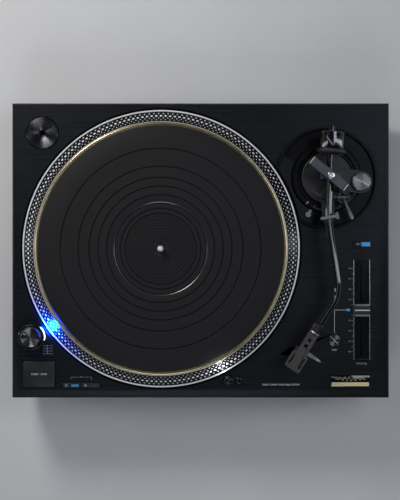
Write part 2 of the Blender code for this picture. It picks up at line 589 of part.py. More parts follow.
def rear_sockets():
    """The mains inlet in the back wall, and the terminal panel with its two phono jacks and earth screw."""
    face = BACK_Y - 0.0005
    inlet = make("ac_inlet", "moulded_black",
                 box((AC_INLET_X - 0.0147, face - 0.0215, 0.0663), (AC_INLET_X + 0.0147, face, 0.0877)))
    socket_low = (AC_INLET_X - 0.0115, face - 0.0165, 0.0695)
    socket_high = (AC_INLET_X + 0.0115, face + 0.001, 0.0845)
    combine(inlet, box(socket_low, socket_high))
    pins = [box((x - 0.0010, face - 0.0190, z - 0.0020), (x + 0.0010, face - 0.0050, z + 0.0020))
            for x, z in ((AC_INLET_X - 0.0070, 0.0755), (AC_INLET_X, 0.0790), (AC_INLET_X + 0.0070, 0.0755))]
    combine(inlet, build_all(*pins), "UNION")

    panel_back, panel_face = 0.1600, 0.1630
    low_x, high_x = TERMINALS_X[0] + 0.0030, TERMINALS_X[1] - 0.0030
    make("terminal_panel", "black_paint",
         box((low_x, panel_back, CHASSIS_TOP + 2 * GAP), (high_x, panel_face, 0.0913)))
    for name, x in (("phono_jack_left", 0.1560), ("phono_jack_right", 0.1360)):
        jack = make(name, "brass", turned([
            (0.0, 0.0025), (0.0016, 0.0025), (0.0016, 0.0085), (0.0042, 0.0085), (0.0042, 0.0020),
            (0.0060, 0.0020), (0.0060, GAP), (0.0, GAP)], 16), (x, panel_face, 0.0780))
        jack.data.transform(FACING_BACK)
    earth = make("ground_terminal", "brass", turned([
        (0.0, GAP), (0.0030, GAP), (0.0030, 0.0015), (0.0048, 0.0015), (0.0048, 0.0065), (0.0042, 0.0072),
        (0.0, 0.0072)], 20), (0.1740, panel_face, 0.0780))
    earth.data.transform(FACING_BACK)


# ---------------------------------------------------------------- tonearm base
def arm_base():
    """The round base let into the deck: a rim, a trough, and a raised sector on the platter side."""
    trough, rim = 0.1086, 0.1132
    wall_radius = ARM_BASE_RADIUS - 0.0031
    base = make("arm_base_ring", "black_aluminium", turned([
        (0.0290, trough), (wall_radius, trough), (wall_radius, rim - 0.0008), (wall_radius + 0.0008, rim),
        (ARM_BASE_RADIUS - 0.0008, rim), (ARM_BASE_RADIUS, rim - 0.0008), (ARM_BASE_RADIUS, DECK_TOP + GAP),
        (ARM_NECK_RADIUS, DECK_TOP + GAP),
        (ARM_NECK_RADIUS, DECK_BOTTOM + 0.0010), (0.0290, DECK_BOTTOM + 0.0010)], 60, closed=True), ARM_PIVOT)
    sector = ring_sector(0.0424, wall_radius + 0.0013, 152.0, 252.0, 14)
    combine(base, prism(sector, trough - 0.001, rim - 0.0006), "UNION")
    combine(base, cylinder(WELL_RADIUS, DECK_BOTTOM, rim + 0.001, 96, PLATTER_AXIS - ARM_PIVOT))


def height_dial():
    """The graduated ring that raises and lowers the arm base."""
    top, step, bottom = 0.1175, 0.1162, 0.1089
    make("height_dial", "black_aluminium", turned([
        (0.0312, bottom), (DIAL_RADIUS, bottom), (DIAL_RADIUS, top - 0.0012), (DIAL_RADIUS - 0.0012, top),
        (0.0350, top), (0.0338, step), (0.0312, step)], 48, closed=True), ARM_PIVOT)


def height_lock():
    """The small lever that clamps the height dial."""
    place = ARM_PIVOT + heading(243.0) * 0.0492
    bottom = 0.1129
    lever = make("height_lock_lever", "silver", cylinder(0.0034, bottom, bottom + 0.0060, 20), place)
    lever.rotation_euler.z = math.radians(60.0)
    grip = capsule((0.0, 0.0), (0.0052, 0.0), 0.0018, 5)
    combine(lever, prism(grip, bottom + 0.0028, bottom + 0.0052), "UNION")


def arm_platform():
    """The plate that carries the arm: a column in the base's bore and lobes out over the height dial."""
    lobe_bottom = 0.1180
    rest_spot = heading(STRAIGHT_HEADING + 4.5) * REST_DISTANCE
    platform = make("arm_platform", "black_paint", turned([
        (0.0, 0.0985), (0.0284, 0.0985), (0.0284, 0.1100), (0.0304, 0.1100), (0.0304, 0.1184),
        (0.0294, 0.1192), (0.0, 0.1192)], 36), ARM_PIVOT)
    lobes = (((0.0200, -0.0030), ANTI_SKATE_OFFSET.xy, 0.0135), ((0.0, -0.0200), rest_spot.xy, 0.0075),
             ((0.0120, -0.0150), (0.0193, -0.0236), 0.0080))
    for i, (start, end, radius) in enumerate(lobes):
        top = PLATFORM_TOP + 0.0001 * i
        combine(platform, prism(capsule(start, end, radius), lobe_bottom, top), "UNION")
    combine(platform, build_all(
        cylinder(0.0034, 0.1030, 0.1300, 20),
        cylinder(0.0028, 0.0960, 0.1300, 16, (heading(LIFT_STEM_HEADING) * LIFT_RADIUS).xy)))
    y, z = CUE_SHAFT_OFFSET.y, CUE_SHAFT_HEIGHT
    ear = [(y - 0.0036, 0.1205), (y + 0.0036, 0.1205), (y + 0.0036, z + 0.0020), (y + 0.0020, z + 0.0040),
           (y - 0.0020, z + 0.0040), (y - 0.0036, z + 0.0020)]
    combine(platform, build_all(*[prism(ear, low, high, UPRIGHT_ALONG_X) for low, high in CUE_EARS_X]), "UNION")
    bore_start, bore_end = (CUE_EARS_X[0][0] - 0.002, y, z), (CUE_EARS_X[1][1] + 0.002, y, z)
    combine(platform, rod(CUE_SHAFT_RADIUS + GAP, bore_start, bore_end, 20))


def anti_skate_dial():
    """The turned knob that sets the sideways force."""
    bottom, top = PLATFORM_TOP + GAP, 0.1285
    make("anti_skate_dial", "silver", turned([
        (0.0, bottom), (0.0106, bottom), (0.0106, bottom + 0.0008), (0.0112, bottom + 0.0012),
        (0.0112, top - 0.0008), (0.0104, top), (0.0, top)], 32), ARM_PIVOT + ANTI_SKATE_OFFSET)


def cue_control():
    """The cue lever on its cross shaft, and the curved bar that it lifts under the tube."""
    place = ARM_PIVOT + CUE_SHAFT_OFFSET + Vector((0.0, 0.0, CUE_SHAFT_HEIGHT))
    lever = make("cue_lever", "silver",
                 rod(CUE_SHAFT_RADIUS, (0.0046, 0.0, 0.0), (CUE_EARS_X[1][1] + 0.0008, 0.0, 0.0), 20), place)
    root, tip = Vector((0.0178, 0.0, 0.0)), Vector((0.0292, -0.0262, 0.0))
    along = (tip - root).normalized()
    across = Vector((-along.y, along.x, 0.0))
    shape = ((root, 0.0009), (tip - along * 0.0020, 0.0021), (tip, 0.0011))
    blade = [(p + across * half).xy for p, half in shape]
    blade += [(p - across * half).xy for p, half in reversed(shape)]
    combine(lever, prism(blade, 0.0002, 0.0020), "UNION")

    top = 0.1380
    start, end = -140.0, -74.0
    lift = make("cue_lift", "steel", prism(
        ring_sector(LIFT_RADIUS - 0.0014, LIFT_RADIUS + 0.0014, start, end, 16), top - 0.0026, top), ARM_PIVOT)
    stem = (heading(LIFT_STEM_HEADING) * LIFT_RADIUS).xy
    combine(lift, cylinder(0.0024, 0.1060, top - 0.0010, 16, stem), "UNION")


def arm_rest():
    """The rest beside the tube and the clip that swings over it."""
    spot = ARM_PIVOT + heading(STRAIGHT_HEADING + 2.4) * REST_DISTANCE
    shelf = ARM_AXIS_HEIGHT - TUBE_RADIUS - 0.0008
    wall_top = 0.1558
    foot = PLATFORM_TOP + 2 * GAP
    outline = [(0.0, foot), (0.0070, foot), (0.0092, shelf), (0.0092, wall_top), (0.0062, wall_top),
               (0.0058, shelf + 0.0020), (0.0045, shelf), (-0.0070, shelf), (-0.0070, shelf - 0.0026),
               (0.0, shelf - 0.0040)]
    make("arm_rest", "moulded_black", prism(outline, -0.0025, 0.0025, UPRIGHT), spot, 10.0)
    knuckle = Vector((0.0077, 0.0, wall_top + 0.0022))
    clip_place = spot + Matrix.Rotation(math.radians(10.0), 3, "Z") @ knuckle
    clip = make("arm_clip", "steel", rod(0.0019, (0.0, -0.0040, 0.0), (0.0, 0.0040, 0.0), 16), clip_place, 10.0)
    reach = 0.0195
    bar = [(-reach, -0.0003), (-reach + 0.0012, -0.0009), (0.0, -0.0012), (0.0, 0.0012), (-reach, 0.0010)]
    combine(clip, prism(bar, -0.0016, 0.0016, UPRIGHT), "UNION")


# ---------------------------------------------------------------- gimbal and arm
def gimbal():
    """The fixed bridge with its pivot screw, and the swinging frame that holds the arm's cross pivots."""
    under, top = 0.1550, 0.1600
    short_end, long_end, leg = -0.0225, 0.0288, 0.0040
    foot = 0.1192 + GAP
    foot_high = PLATFORM_TOP + 3 * GAP
    outline = [(short_end, foot_high), (short_end + leg, foot_high), (short_end + leg + 0.0010, under),
               (long_end - leg - 0.0010, under), (long_end - leg, foot), (long_end, foot),
               (long_end, top - 0.0042), (long_end - 0.0028, top), (short_end + 0.0028, top),
               (short_end, top - 0.0042)]
    bridge = make("gimbal_bridge", "black_aluminium", prism(outline, -0.0054, 0.0054, UPRIGHT), ARM_PIVOT,
                  BRIDGE_HEADING)
    combine(bridge, cylinder(0.0024, under - 0.001, top + 0.001, 20))

    make("pivot_screw", "silver", turned([
        (0.0, 0.1612), (0.0014, 0.1612), (0.0014, 0.1630), (0.0036, 0.1630), (0.0042, 0.1624),
        (0.0042, top + GAP), (0.0020, top + GAP), (0.0020, 0.1548), (0.0, 0.1540)], 16), ARM_PIVOT)

    frame_empty = axis_empty("arm_yaw_axis", ARM_PIVOT)
    depth = 0.0040
    level = ARM_AXIS_HEIGHT
    outer = [(-0.0120, level - 0.0070), (-0.0105, level - 0.0082), (0.0105, level - 0.0082),
             (0.0120, level - 0.0070), (0.0120, level + 0.0066), (0.0105, level + 0.0078),
             (-0.0105, level + 0.0078), (-0.0120, level + 0.0066)]
    ring = make("gimbal_ring", "black_aluminium", prism(outer, -depth, depth, UPRIGHT_ALONG_X), ARM_PIVOT,
                STRAIGHT_HEADING, parent=frame_empty)
    combine(ring, box((-0.0050, -0.0095, level - 0.0064), (0.0050, 0.0095, level + 0.0064)))
    combine(ring, cylinder(0.0030, 0.1040, level - 0.0070, 20), "UNION")
    pins = [rod(0.0012, (0.0, side * 0.0100, level), (0.0, side * 0.0058, level), 12) for side in (-1, 1)]
    combine(ring, build_all(*pins), "UNION")


def arm_path():
    """The tube's centre line from its rear end to just short of the headshell: straight runs and two bends."""
    rear_length = 0.0580
    runs = [(rear_length + 0.0300, 0.0, 12), (0.0320, 11.0, 10), (0.0606, 0.0, 6),
            (0.0300, HEADSHELL_HEADING - STRAIGHT_HEADING - 11.0, 14), (0.0335, 0.0, 4)]
    point = ARM_PIVOT + heading(REAR_HEADING) * rear_length + Vector((0.0, 0.0, ARM_AXIS_HEIGHT))
    facing = STRAIGHT_HEADING
    points = [point.copy()]
    for length, bend, steps in runs:
        for i in range(steps):
            middle = facing + bend * (i + 0.5) / steps
            point = point + heading(middle) * (length / steps)
            points.append(point.copy())
        facing += bend
    return points


def tonearm():
    """The S-shaped tube, and everything that rides on it."""
    pivot = axis_empty("arm_tilt_axis", ARM_PIVOT + Vector((0.0, 0.0, ARM_AXIS_HEIGHT)))
    curve = bpy.data.curves.new("arm_tube", "CURVE")
    curve.dimensions = "3D"
    curve.bevel_depth = TUBE_RADIUS
    curve.bevel_resolution = 4
    curve.use_fill_caps = True
    line = curve.splines.new("POLY")
    points = arm_path()
    line.points.add(len(points) - 1)
    for spot, point in zip(line.points, points):
        spot.co = (*(point - pivot.location), 1.0)
    curve.materials.append(finish("black_gloss"))
    tube = bpy.data.objects.new("arm_tube", curve)
    bpy.context.collection.objects.link(tube)
    tube.parent = pivot

    back = heading(REAR_HEADING)
    level = Vector((0.0, 0.0, ARM_AXIS_HEIGHT))
    lay_back = Matrix.Rotation(math.radians(REAR_HEADING), 4, "Z") @ Matrix.Rotation(math.radians(90), 4, "Y")
    bore = TUBE_RADIUS + GAP

    def along_rear(name, colour, profile, steps, distance):
        place = ARM_PIVOT + level + back * distance
        piece = make(name, colour, turned(profile, steps, closed=True), place, parent=pivot)
        piece.data.transform(lay_back)

    along_rear("weight_dial", "black_paint", [
        (bore, 0.0), (0.0140, 0.0), (0.0168, 0.0020), (0.0168, 0.0054), (0.0162, 0.0060), (bore, 0.0060)],
        32, 0.0253)
    along_rear("counterweight", "steel", [
        (bore, 0.0), (0.0146, 0.0), (0.0150, 0.0004), (0.0150, 0.0190), (0.0142, 0.0198), (bore, 0.0198)],
        32, 0.0316)

    shell_forward = heading(HEADSHELL_HEADING)
    seat = HEADSHELL_FRONT - shell_forward * HEADSHELL_LENGTH + level
    lay_forward = (Matrix.Rotation(math.radians(HEADSHELL_HEADING), 4, "Z")
                   @ Matrix.Rotation(math.radians(90), 4, "Y"))
    collar_length = 0.0130
    collar = make("lock_collar", "black_aluminium", turned([
        (bore, 0.0), (0.0056, 0.0), (0.0066, 0.0012), (0.0066, collar_length - 0.0008),
        (0.0060, collar_length - GAP), (bore, collar_length - GAP)], 24, closed=True),
        seat - shell_forward * collar_length, parent=pivot)
    collar.data.transform(lay_forward)
    headshell(seat, pivot)


def headshell(seat, pivot):
    """The removable shell with its spigot, the finger lift beside it and the cartridge under it."""
    neck_half, wide_half, step_at, length = 0.0061, 0.0100, 0.0260, HEADSHELL_LENGTH
    top, bottom = 0.0010, -0.0026
    corner = 0.0015
    outline = [(0.0, -neck_half), (step_at, -neck_half), (step_at + 0.0030, -wide_half),
               (length - corner, -wide_half), (length, -wide_half + corner), (length, wide_half - corner),
               (length - corner, wide_half), (step_at + 0.0030, wide_half), (step_at, neck_half),
               (0.0, neck_half)]
    shell = make("headshell", "black_paint", prism(outline, bottom, top), seat, HEADSHELL_HEADING, pivot)
    under, over = bottom - 0.001, top + 0.001
    screw_spacing = 0.0127
    slot_lines = [capsule((0.0320, y), (0.0430, y), 0.0013, 5) for y in (-screw_spacing / 2, screw_spacing / 2)]
    slots = [prism(line, under, over) for line in slot_lines]
    holes = [cylinder(0.0021, under, over, 16, (x, 0.0)) for x in (0.0090, 0.0170)]
    combine(shell, build_all(*slots, *holes))
    combine(shell, rod(0.0038, (-0.0042, 0.0, 0.0), (0.0010, 0.0, 0.0), 16), "UNION")

    lift_path = [(0.0, 0.0), (0.0060, 0.0004), (0.0120, 0.0016), (0.0160, 0.0044), (0.0172, 0.0060)]
    thickness = 0.0010
    lift = lift_path + [(max(x - 0.0006, 0.0), z + thickness) for x, z in reversed(lift_path)]
    forward, outward = heading(HEADSHELL_HEADING), heading(HEADSHELL_HEADING + 90.0)
    root = seat + forward * 0.0235 + outward * (neck_half + GAP) + Vector((0.0, 0.0, -0.0010))
    make("finger_lift", "black_paint", prism(lift, -0.0020, 0.0020, UPRIGHT_ALONG_X), root, HEADSHELL_HEADING,
         pivot)

    tip_drop = -0.0180
    nose = [(0.0220, bottom - GAP), (0.0220, -0.0130), (0.0400, -0.0130), (0.0452, -0.0150), (0.0464, tip_drop),
            (0.0469, tip_drop), (0.0472, -0.0140), (0.0480, -0.0100), (0.0480, bottom - GAP)]
    cartridge = make("cartridge", "moulded_black", prism(nose, -0.0082, 0.0082, UPRIGHT), seat,
                     HEADSHELL_HEADING, pivot)
    combine(cartridge, build_all(
        box((0.0405, 0.0006, tip_drop - 0.001), (0.0500, 0.0100, -0.0105)),
        box((0.0405, -0.0100, tip_drop - 0.001), (0.0500, -0.0006, -0.0105))))


top_panel()
cabinet()
chassis_layer()
bottom_base()
feet()
platter_group()
motor()
adaptor()
buttons()
target_lamp()
strobe()
pitch_fader()
edition_plate()
circuit_boards()
rear_sockets()
arm_base()
height_dial()
height_lock()
arm_platform()
anti_skate_dial()
cue_control()
arm_rest()
gimbal()
tonearm()
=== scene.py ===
"""The looks of a direct-drive turntable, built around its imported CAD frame.

Everything is in metres, in the CAD's own frame: +X to the tonearm side, +Y to the back, +Z up, and the
table at z = 0.
"""

import json
import math
from math import cos, radians, sin, tau

import bmesh
import bpy
from mathutils import Matrix, Vector


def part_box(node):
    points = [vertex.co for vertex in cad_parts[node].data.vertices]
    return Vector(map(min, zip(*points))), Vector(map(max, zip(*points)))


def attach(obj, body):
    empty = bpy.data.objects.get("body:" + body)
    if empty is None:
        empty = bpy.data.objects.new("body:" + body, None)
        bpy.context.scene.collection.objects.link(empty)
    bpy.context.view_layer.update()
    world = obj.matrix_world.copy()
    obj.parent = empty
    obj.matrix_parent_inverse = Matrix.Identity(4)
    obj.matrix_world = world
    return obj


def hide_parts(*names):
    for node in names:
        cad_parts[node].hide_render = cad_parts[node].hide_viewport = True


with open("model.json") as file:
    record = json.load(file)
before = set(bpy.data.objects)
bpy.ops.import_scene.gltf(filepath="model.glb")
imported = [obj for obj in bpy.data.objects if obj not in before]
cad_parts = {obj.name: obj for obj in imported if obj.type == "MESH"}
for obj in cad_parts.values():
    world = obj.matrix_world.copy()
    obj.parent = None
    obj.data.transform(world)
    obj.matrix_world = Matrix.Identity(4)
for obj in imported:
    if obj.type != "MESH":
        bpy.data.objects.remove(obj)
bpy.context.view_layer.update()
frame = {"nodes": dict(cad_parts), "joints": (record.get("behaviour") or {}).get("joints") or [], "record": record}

# -------- places and sizes read from the frame
JOINTS = {joint["name"]: joint for joint in frame["joints"]}
SLOT_OF = {part["node"]: part["material_slot"] for part in frame["record"]["subparts"]}
BODY_OF = {
    node: body
    for body, nodes in frame["record"]["behaviour"]["bodies"].items()
    for node in nodes
}


def low(node):
    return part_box(node)[0]


def high(node):
    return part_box(node)[1]


def middle(node):
    return (low(node) + high(node)) / 2


def half_width(node):
    return (high(node).x - low(node).x) / 2


def disc_size(node):
    """A round node's radius, top and underside."""
    return half_width(node), high(node).z, low(node).z


def heading(degrees):
    """The level unit vector at an angle from +X."""
    return Vector((cos(radians(degrees)), sin(radians(degrees)), 0.0))


def facing_platter(spot):
    return (PLATTER - Vector((spot.x, spot.y, 0.0))).normalized()


def heading_of(joint):
    x, y, _ = JOINTS[joint]["axis"]
    return math.degrees(math.atan2(y, x))


DECK_TOP = high("top_panel").z
PRINT_LIFT = 0.00006  # how far printed marks stand over the surface under them
DECK_PRINT = DECK_TOP + PRINT_LIFT
PLATTER = Vector((*middle("platter").xy, 0.0))
ARM_PIVOT = Vector(JOINTS["arm_tilt"]["pos_m"])
REAR_HEADING = heading_of("weight_travel")
SHELL_HEADING = heading_of("headshell_pull")
STRAIGHT_HEADING = REAR_HEADING - 180.0
BRIDGE_HEADING = 141.0
TUBE_RADIUS = 0.0046


# -------- shapes
def arc(radius, start, end, steps, centre=(0.0, 0.0)):
    angles = [radians(start + (end - start) * i / steps) for i in range(steps + 1)]
    return [(centre[0] + radius * cos(a), centre[1] + radius * sin(a)) for a in angles]


def rectangle(x0, x1, y0, y1):
    return [(x0, y0), (x1, y0), (x1, y1), (x0, y1)]


def rounded_rectangle(x0, x1, y0, y1, radius, steps=4):
    corners = ((x1 - radius, y1 - radius, 0), (x0 + radius, y1 - radius, 90),
               (x0 + radius, y0 + radius, 180), (x1 - radius, y0 + radius, 270))
    return [p for x, y, a in corners for p in arc(radius, a, a + 90, steps, (x, y))]


def add_prism(bm, outline, bottom, top):
    face = bm.faces.new([bm.verts.new((x, y, bottom)) for x, y in outline])
    pulled = bmesh.ops.extrude_face_region(bm, geom=[face])["geom"]
    lifted = [g for g in pulled if isinstance(g, bmesh.types.BMVert)]
    bmesh.ops.translate(bm, vec=(0.0, 0.0, top - bottom), verts=lifted)


def add_turned(bm, profile, steps, closed=False, ripple=None):
    """A (radius, height) profile spun about Z. ripple(radius, height, angle) may move a point in or out."""
    rings = []
    for i in range(steps):
        angle = tau * i / steps
        ring = []
        for radius, height in profile:
            r = radius if ripple is None else ripple(radius, height, angle)
            ring.append(bm.verts.new((r * cos(angle), r * sin(angle), height)))
        rings.append(ring)
    last = len(profile) if closed else len(profile) - 1
    for i, ring in enumerate(rings):
        following = rings[(i + 1) % steps]
        for j in range(last):
            k = (j + 1) % len(profile)
            bm.faces.new((ring[j], following[j], following[k], ring[k]))
    bmesh.ops.remove_doubles(bm, verts=bm.verts, dist=1e-7)
    flat = [f for f in bm.faces if f.calc_area() < 1e-14]
    bmesh.ops.delete(bm, geom=flat, context="FACES_ONLY")


def knurl(outer, depth, teeth, floor, ceiling):
    """A ripple that cuts straight grooves into the outer wall between two heights."""
    def move(radius, height, angle):
        if radius < outer - 1e-6 or not floor <= height <= ceiling:
            return radius
        return radius - depth * (0.5 - 0.5 * cos(teeth * angle))
    return move


def skin(bm, rings):
    """Closes a row of equal rings of points into one body."""
    count = len(rings[0])
    for near, far in zip(rings, rings[1:]):
        for i in range(count):
            j = (i + 1) % count
            bm.faces.new((near[i], near[j], far[j], far[i]))
    bm.faces.new(rings[0])
    bm.faces.new(rings[-1])


# -------- pieces
def show(made):
    bpy.context.scene.collection.objects.link(made)


def piece(name, build, material, node, replaced=(), place=None, angle=30.0, bevel=0.0, slot=None):
    """A finished mesh piece: built, placed, smoothed and given its finish, it rides on a CAD node's body."""
    body, slot = BODY_OF[node], slot or SLOT_OF[node]
    bm = bmesh.new()
    build(bm)
    bmesh.ops.recalc_face_normals(bm, faces=bm.faces)
    mesh = bpy.data.meshes.new(name)
    bm.to_mesh(mesh)
    bm.free()
    if place is not None:
        mesh.transform(place)
    mesh.materials.append(material)
    mesh.shade_smooth()
    mesh.set_sharp_from_angle(angle=radians(angle))
    made = bpy.data.objects.new(name, mesh)
    show(made)
    if bevel:
        round_edges(made, bevel)
    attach(made, body)
    if replaced:
        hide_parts(*replaced)


def round_edges(made, width):
    """A bevel on the edges that turn by more than a shallow angle."""
    rounding = made.modifiers.new("rounded edges", "BEVEL")
    rounding.width = width
    rounding.segments = 2
    rounding.limit_method = "ANGLE"
    rounding.angle_limit = radians(32)
    rounding.use_clamp_overlap = False
    rounding.harden_normals = True


def turned(name, profile, material, node, place=None, steps=96, closed=False, ripple=None, replaced=True,
           angle=30.0):
    """A turned piece that stands for a CAD node, or rides with it."""
    if place is None:
        place = Matrix.Translation((*middle(node).xy, 0.0))
    piece(name, lambda bm: add_turned(bm, profile, steps, closed, ripple), material, node,
          (node,) if replaced else (), place, angle)


def keep_cad(node, material, width):
    """Shows a CAD node with its own shape, rounded edges and a finish."""
    made = frame["nodes"][node]
    mesh = made.data
    if "custom_normal" in mesh.attributes:
        mesh.attributes.remove(mesh.attributes["custom_normal"])
    mesh.materials.clear()
    mesh.materials.append(material)
    mesh.shade_smooth()
    joined = made.modifiers.new("joined seams", "WELD")
    joined.merge_threshold = 0.00001
    if width:
        round_edges(made, width)


def marks(name, outlines, z, material, node, thickness=0.00005, place=None):
    """Thin printed shapes on a level surface."""
    def build(bm):
        for outline in outlines:
            add_prism(bm, outline, z, z + thickness)
    piece(name, build, material, node, place=place)


def lettering(name, words, size, place, material, node):
    """A line of print, centred on a spot of a surface."""
    text = bpy.data.curves.new(name, "FONT")
    text.body = words
    text.size = size
    text.align_x = "CENTER"
    text.align_y = "CENTER"
    text.extrude = 0.00002
    text.offset = 0.00003
    text.resolution_u = 3
    carrier = bpy.data.objects.new(name + "_line", text)
    show(carrier)
    bpy.context.view_layer.update()
    mesh = bpy.data.meshes.new_from_object(carrier.evaluated_get(bpy.context.evaluated_depsgraph_get()))
    bpy.data.objects.remove(carrier)
    mesh.transform(place)
    mesh.materials.clear()
    mesh.materials.append(material)
    made = bpy.data.objects.new(name, mesh)
    show(made)
    body, slot = BODY_OF[node], SLOT_OF[node]
    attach(made, body)


def over(node, turn=0.0):
    """Moves a shape drawn about the origin to stand over a node's middle."""
    return at(middle(node).x, middle(node).y, 0.0, turn)


def at(x, y, z, turn=0.0):
    return Matrix.Translation((x, y, z)) @ Matrix.Rotation(radians(turn), 4, "Z")


# -------- materials
def link(tree, source, target):
    tree.links.new(source, target)


def add_node(tree, kind, **values):
    """A new shader node. Values go to the sockets of those names, with _ for a space."""
    node = tree.nodes.new("ShaderNode" + kind)
    set_sockets(node, **values)
    return node


def set_sockets(node, **values):
    for name, value in values.items():
        node.inputs[name.replace("_", " ")].default_value = value


def math_node(tree, operation, a, b=None):
    node = add_node(tree, "Math")
    node.operation = operation
    for socket, value in zip(node.inputs, (a, b)):
        if value is None:
            continue
        if isinstance(value, (int, float)):
            socket.default_value = value
        else:
            link(tree, value, socket)
    return node.outputs[0]


def noise(tree, vector, scale, detail=5.0, roughness=0.6):
    node = add_node(tree, "TexNoise", Scale=scale, Detail=detail, Roughness=roughness)
    link(tree, vector, node.inputs["Vector"])
    return node.outputs[0]


def mapped(tree, value, from_low, from_high, to_low, to_high):
    node = add_node(tree, "MapRange", From_Min=from_low, From_Max=from_high, To_Min=to_low, To_Max=to_high)
    link(tree, value, node.inputs["Value"])
    return node.outputs[0]


def stretched(tree, scale, turn=0.0):
    """Object coordinates turned about Z, then scaled, so that noise runs in streaks."""
    coordinates = add_node(tree, "TexCoord").outputs["Object"]
    node = add_node(tree, "VectorRotate")
    node.rotation_type = "Z_AXIS"
    node.inputs["Angle"].default_value = radians(-turn)
    link(tree, coordinates, node.inputs["Vector"])
    scaled = add_node(tree, "VectorMath")
    scaled.operation = "MULTIPLY"
    link(tree, node.outputs[0], scaled.inputs[0])
    scaled.inputs[1].default_value = scale
    return scaled.outputs[0]


def ringed(tree, centre, rings_per_metre):
    """Coordinates that change only with the distance from an upright axis and with height."""
    coordinates = add_node(tree, "TexCoord").outputs["Object"]
    moved = add_node(tree, "VectorMath")
    moved.operation = "SUBTRACT"
    link(tree, coordinates, moved.inputs[0])
    moved.inputs[1].default_value = (centre[0], centre[1], 0.0)
    parts = add_node(tree, "SeparateXYZ")
    link(tree, moved.outputs[0], parts.inputs[0])
    squares = math_node(tree, "ADD", math_node(tree, "MULTIPLY", parts.outputs[0], parts.outputs[0]),
                        math_node(tree, "MULTIPLY", parts.outputs[1], parts.outputs[1]))
    distance = math_node(tree, "MULTIPLY", math_node(tree, "SQRT", squares), rings_per_metre)
    level = math_node(tree, "MULTIPLY", parts.outputs[2], rings_per_metre)
    joined = add_node(tree, "CombineXYZ")
    link(tree, distance, joined.inputs[0])
    link(tree, level, joined.inputs[1])
    return joined.outputs[0]


def mixed(tree, first, second, factor, target):
    """Feeds a blend of two colours into a socket."""
    mix = add_node(tree, "Mix")
    mix.data_type = "RGBA"
    mix.inputs["A"].default_value = (*first, 1.0)
    mix.inputs["B"].default_value = (*second, 1.0)
    link(tree, factor, mix.inputs["Factor"])
    link(tree, mix.outputs["Result"], target)


def surface(name, dark, light, rough, metallic=0.0, grain=900.0, turn=0.0, rings=None,
            ring_density=1500.0, bump=0.05, bump_depth=0.00003, anisotropic=0.0, coat=0.0, detail=5.0,
            glow=None, specular=0.5, patches=0.25):
    """A procedural finish: two close colours mixed by a grain, with cloudy patches of another gloss.

    A grain of one number is even; three numbers stretch it along the axes.
    """
    if isinstance(grain, float):
        grain = (grain, grain, grain)
    made = bpy.data.materials.new(name)
    made.use_nodes = True
    tree = made.node_tree
    shader = tree.nodes["Principled BSDF"]
    vector = ringed(tree, rings, ring_density) if rings else stretched(tree, grain, turn)
    fine = noise(tree, vector, 1.0, detail)
    cloud = noise(tree, stretched(tree, (14.0, 14.0, 14.0)), 1.0, 3.0)
    blend = math_node(tree, "ADD", mapped(tree, fine, 0.3, 0.7, 0.0, 1.0 - patches),
                      mapped(tree, cloud, 0.3, 0.7, 0.0, patches))
    mixed(tree, dark, light, blend, shader.inputs["Base Color"])
    link(tree, mapped(tree, blend, 0.0, 1.0, rough[0], rough[1]), shader.inputs["Roughness"])
    set_sockets(shader, Metallic=metallic, Specular_IOR_Level=specular)
    if bump:
        relief = add_node(tree, "Bump", Strength=bump, Distance=bump_depth)
        link(tree, fine, relief.inputs["Height"])
        link(tree, relief.outputs[0], shader.inputs["Normal"])
    if anisotropic:
        tangent = add_node(tree, "Tangent")
        tangent.direction_type = "RADIAL"
        tangent.axis = "Z"
        link(tree, tangent.outputs[0], shader.inputs["Tangent"])
        set_sockets(shader, Anisotropic=anisotropic, Anisotropic_Rotation=0.25)
    if coat:
        set_sockets(shader, Coat_Weight=coat, Coat_Roughness=0.08)
    if glow:
        colour, strength = glow
        set_sockets(shader, Emission_Color=(*colour, 1.0), Emission_Strength=strength)
    return made


def disc_finish(name, node, dark, light, rough, density=2500.0, anisotropic=0.75):
    """Turned metal with fine rings about a node's own middle."""
    return surface(name, dark, light, rough, 1.0, rings=middle(node).xy, ring_density=density, bump=0.03,
                   anisotropic=anisotropic)


BRUSHED = surface(
    "brushed black anodised aluminium", (0.0020, 0.0028, 0.0036), (0.0155, 0.0190, 0.0235), (0.34, 0.48),
    0.6, grain=(18.0, 1100.0, 700.0), bump=0.25, bump_depth=0.00008, detail=6.0, patches=0.12,
    specular=0.28)
# Black enamel, darker than the satin paint. On the tonearm base ring the extra darkness is painted shade for its
# deep trough; the height dial wears it as its own black.
BLACK_ENAMEL_AND_SHADE = surface(
    "black enamel and painted trough shade", (0.0018, 0.0018, 0.0022), (0.0040, 0.0040, 0.0048), (0.26, 0.36), grain=1200.0,
    bump=0.06, specular=0.10)
SHELL_METAL = surface(
    "warm dark magnesium", (0.060, 0.052, 0.052), (0.095, 0.084, 0.083), (0.32, 0.44), 0.6, grain=1700.0,
    bump=0.10)
BRIDGE_METAL = surface(
    "grey satin die casting", (0.050, 0.052, 0.064), (0.078, 0.081, 0.096), (0.34, 0.46), 0.5, grain=1700.0,
    bump=0.10)
RIB_METAL = surface(
    "satin rib metal", (0.20, 0.20, 0.21), (0.27, 0.27, 0.28), (0.32, 0.42), 0.3, grain=400.0, bump=0.01,
    bump_depth=0.00001)
DULL_STEEL = surface(
    "dull dark steel", (0.14, 0.14, 0.15), (0.21, 0.21, 0.22), (0.30, 0.42), 0.6, grain=1500.0, bump=0.08)
SATIN_PAINT = surface(
    "satin black paint", (0.0035, 0.0035, 0.0042), (0.0075, 0.0075, 0.0088), (0.38, 0.50), grain=1400.0,
    bump=0.10, bump_depth=0.00004)
BUTTON_FACE = surface(
    "fine-grained black button", (0.014, 0.0155, 0.0165), (0.022, 0.024, 0.0255), (0.42, 0.55), 0.5,
    grain=(60.0, 1800.0, 900.0), bump=0.15, bump_depth=0.00004)
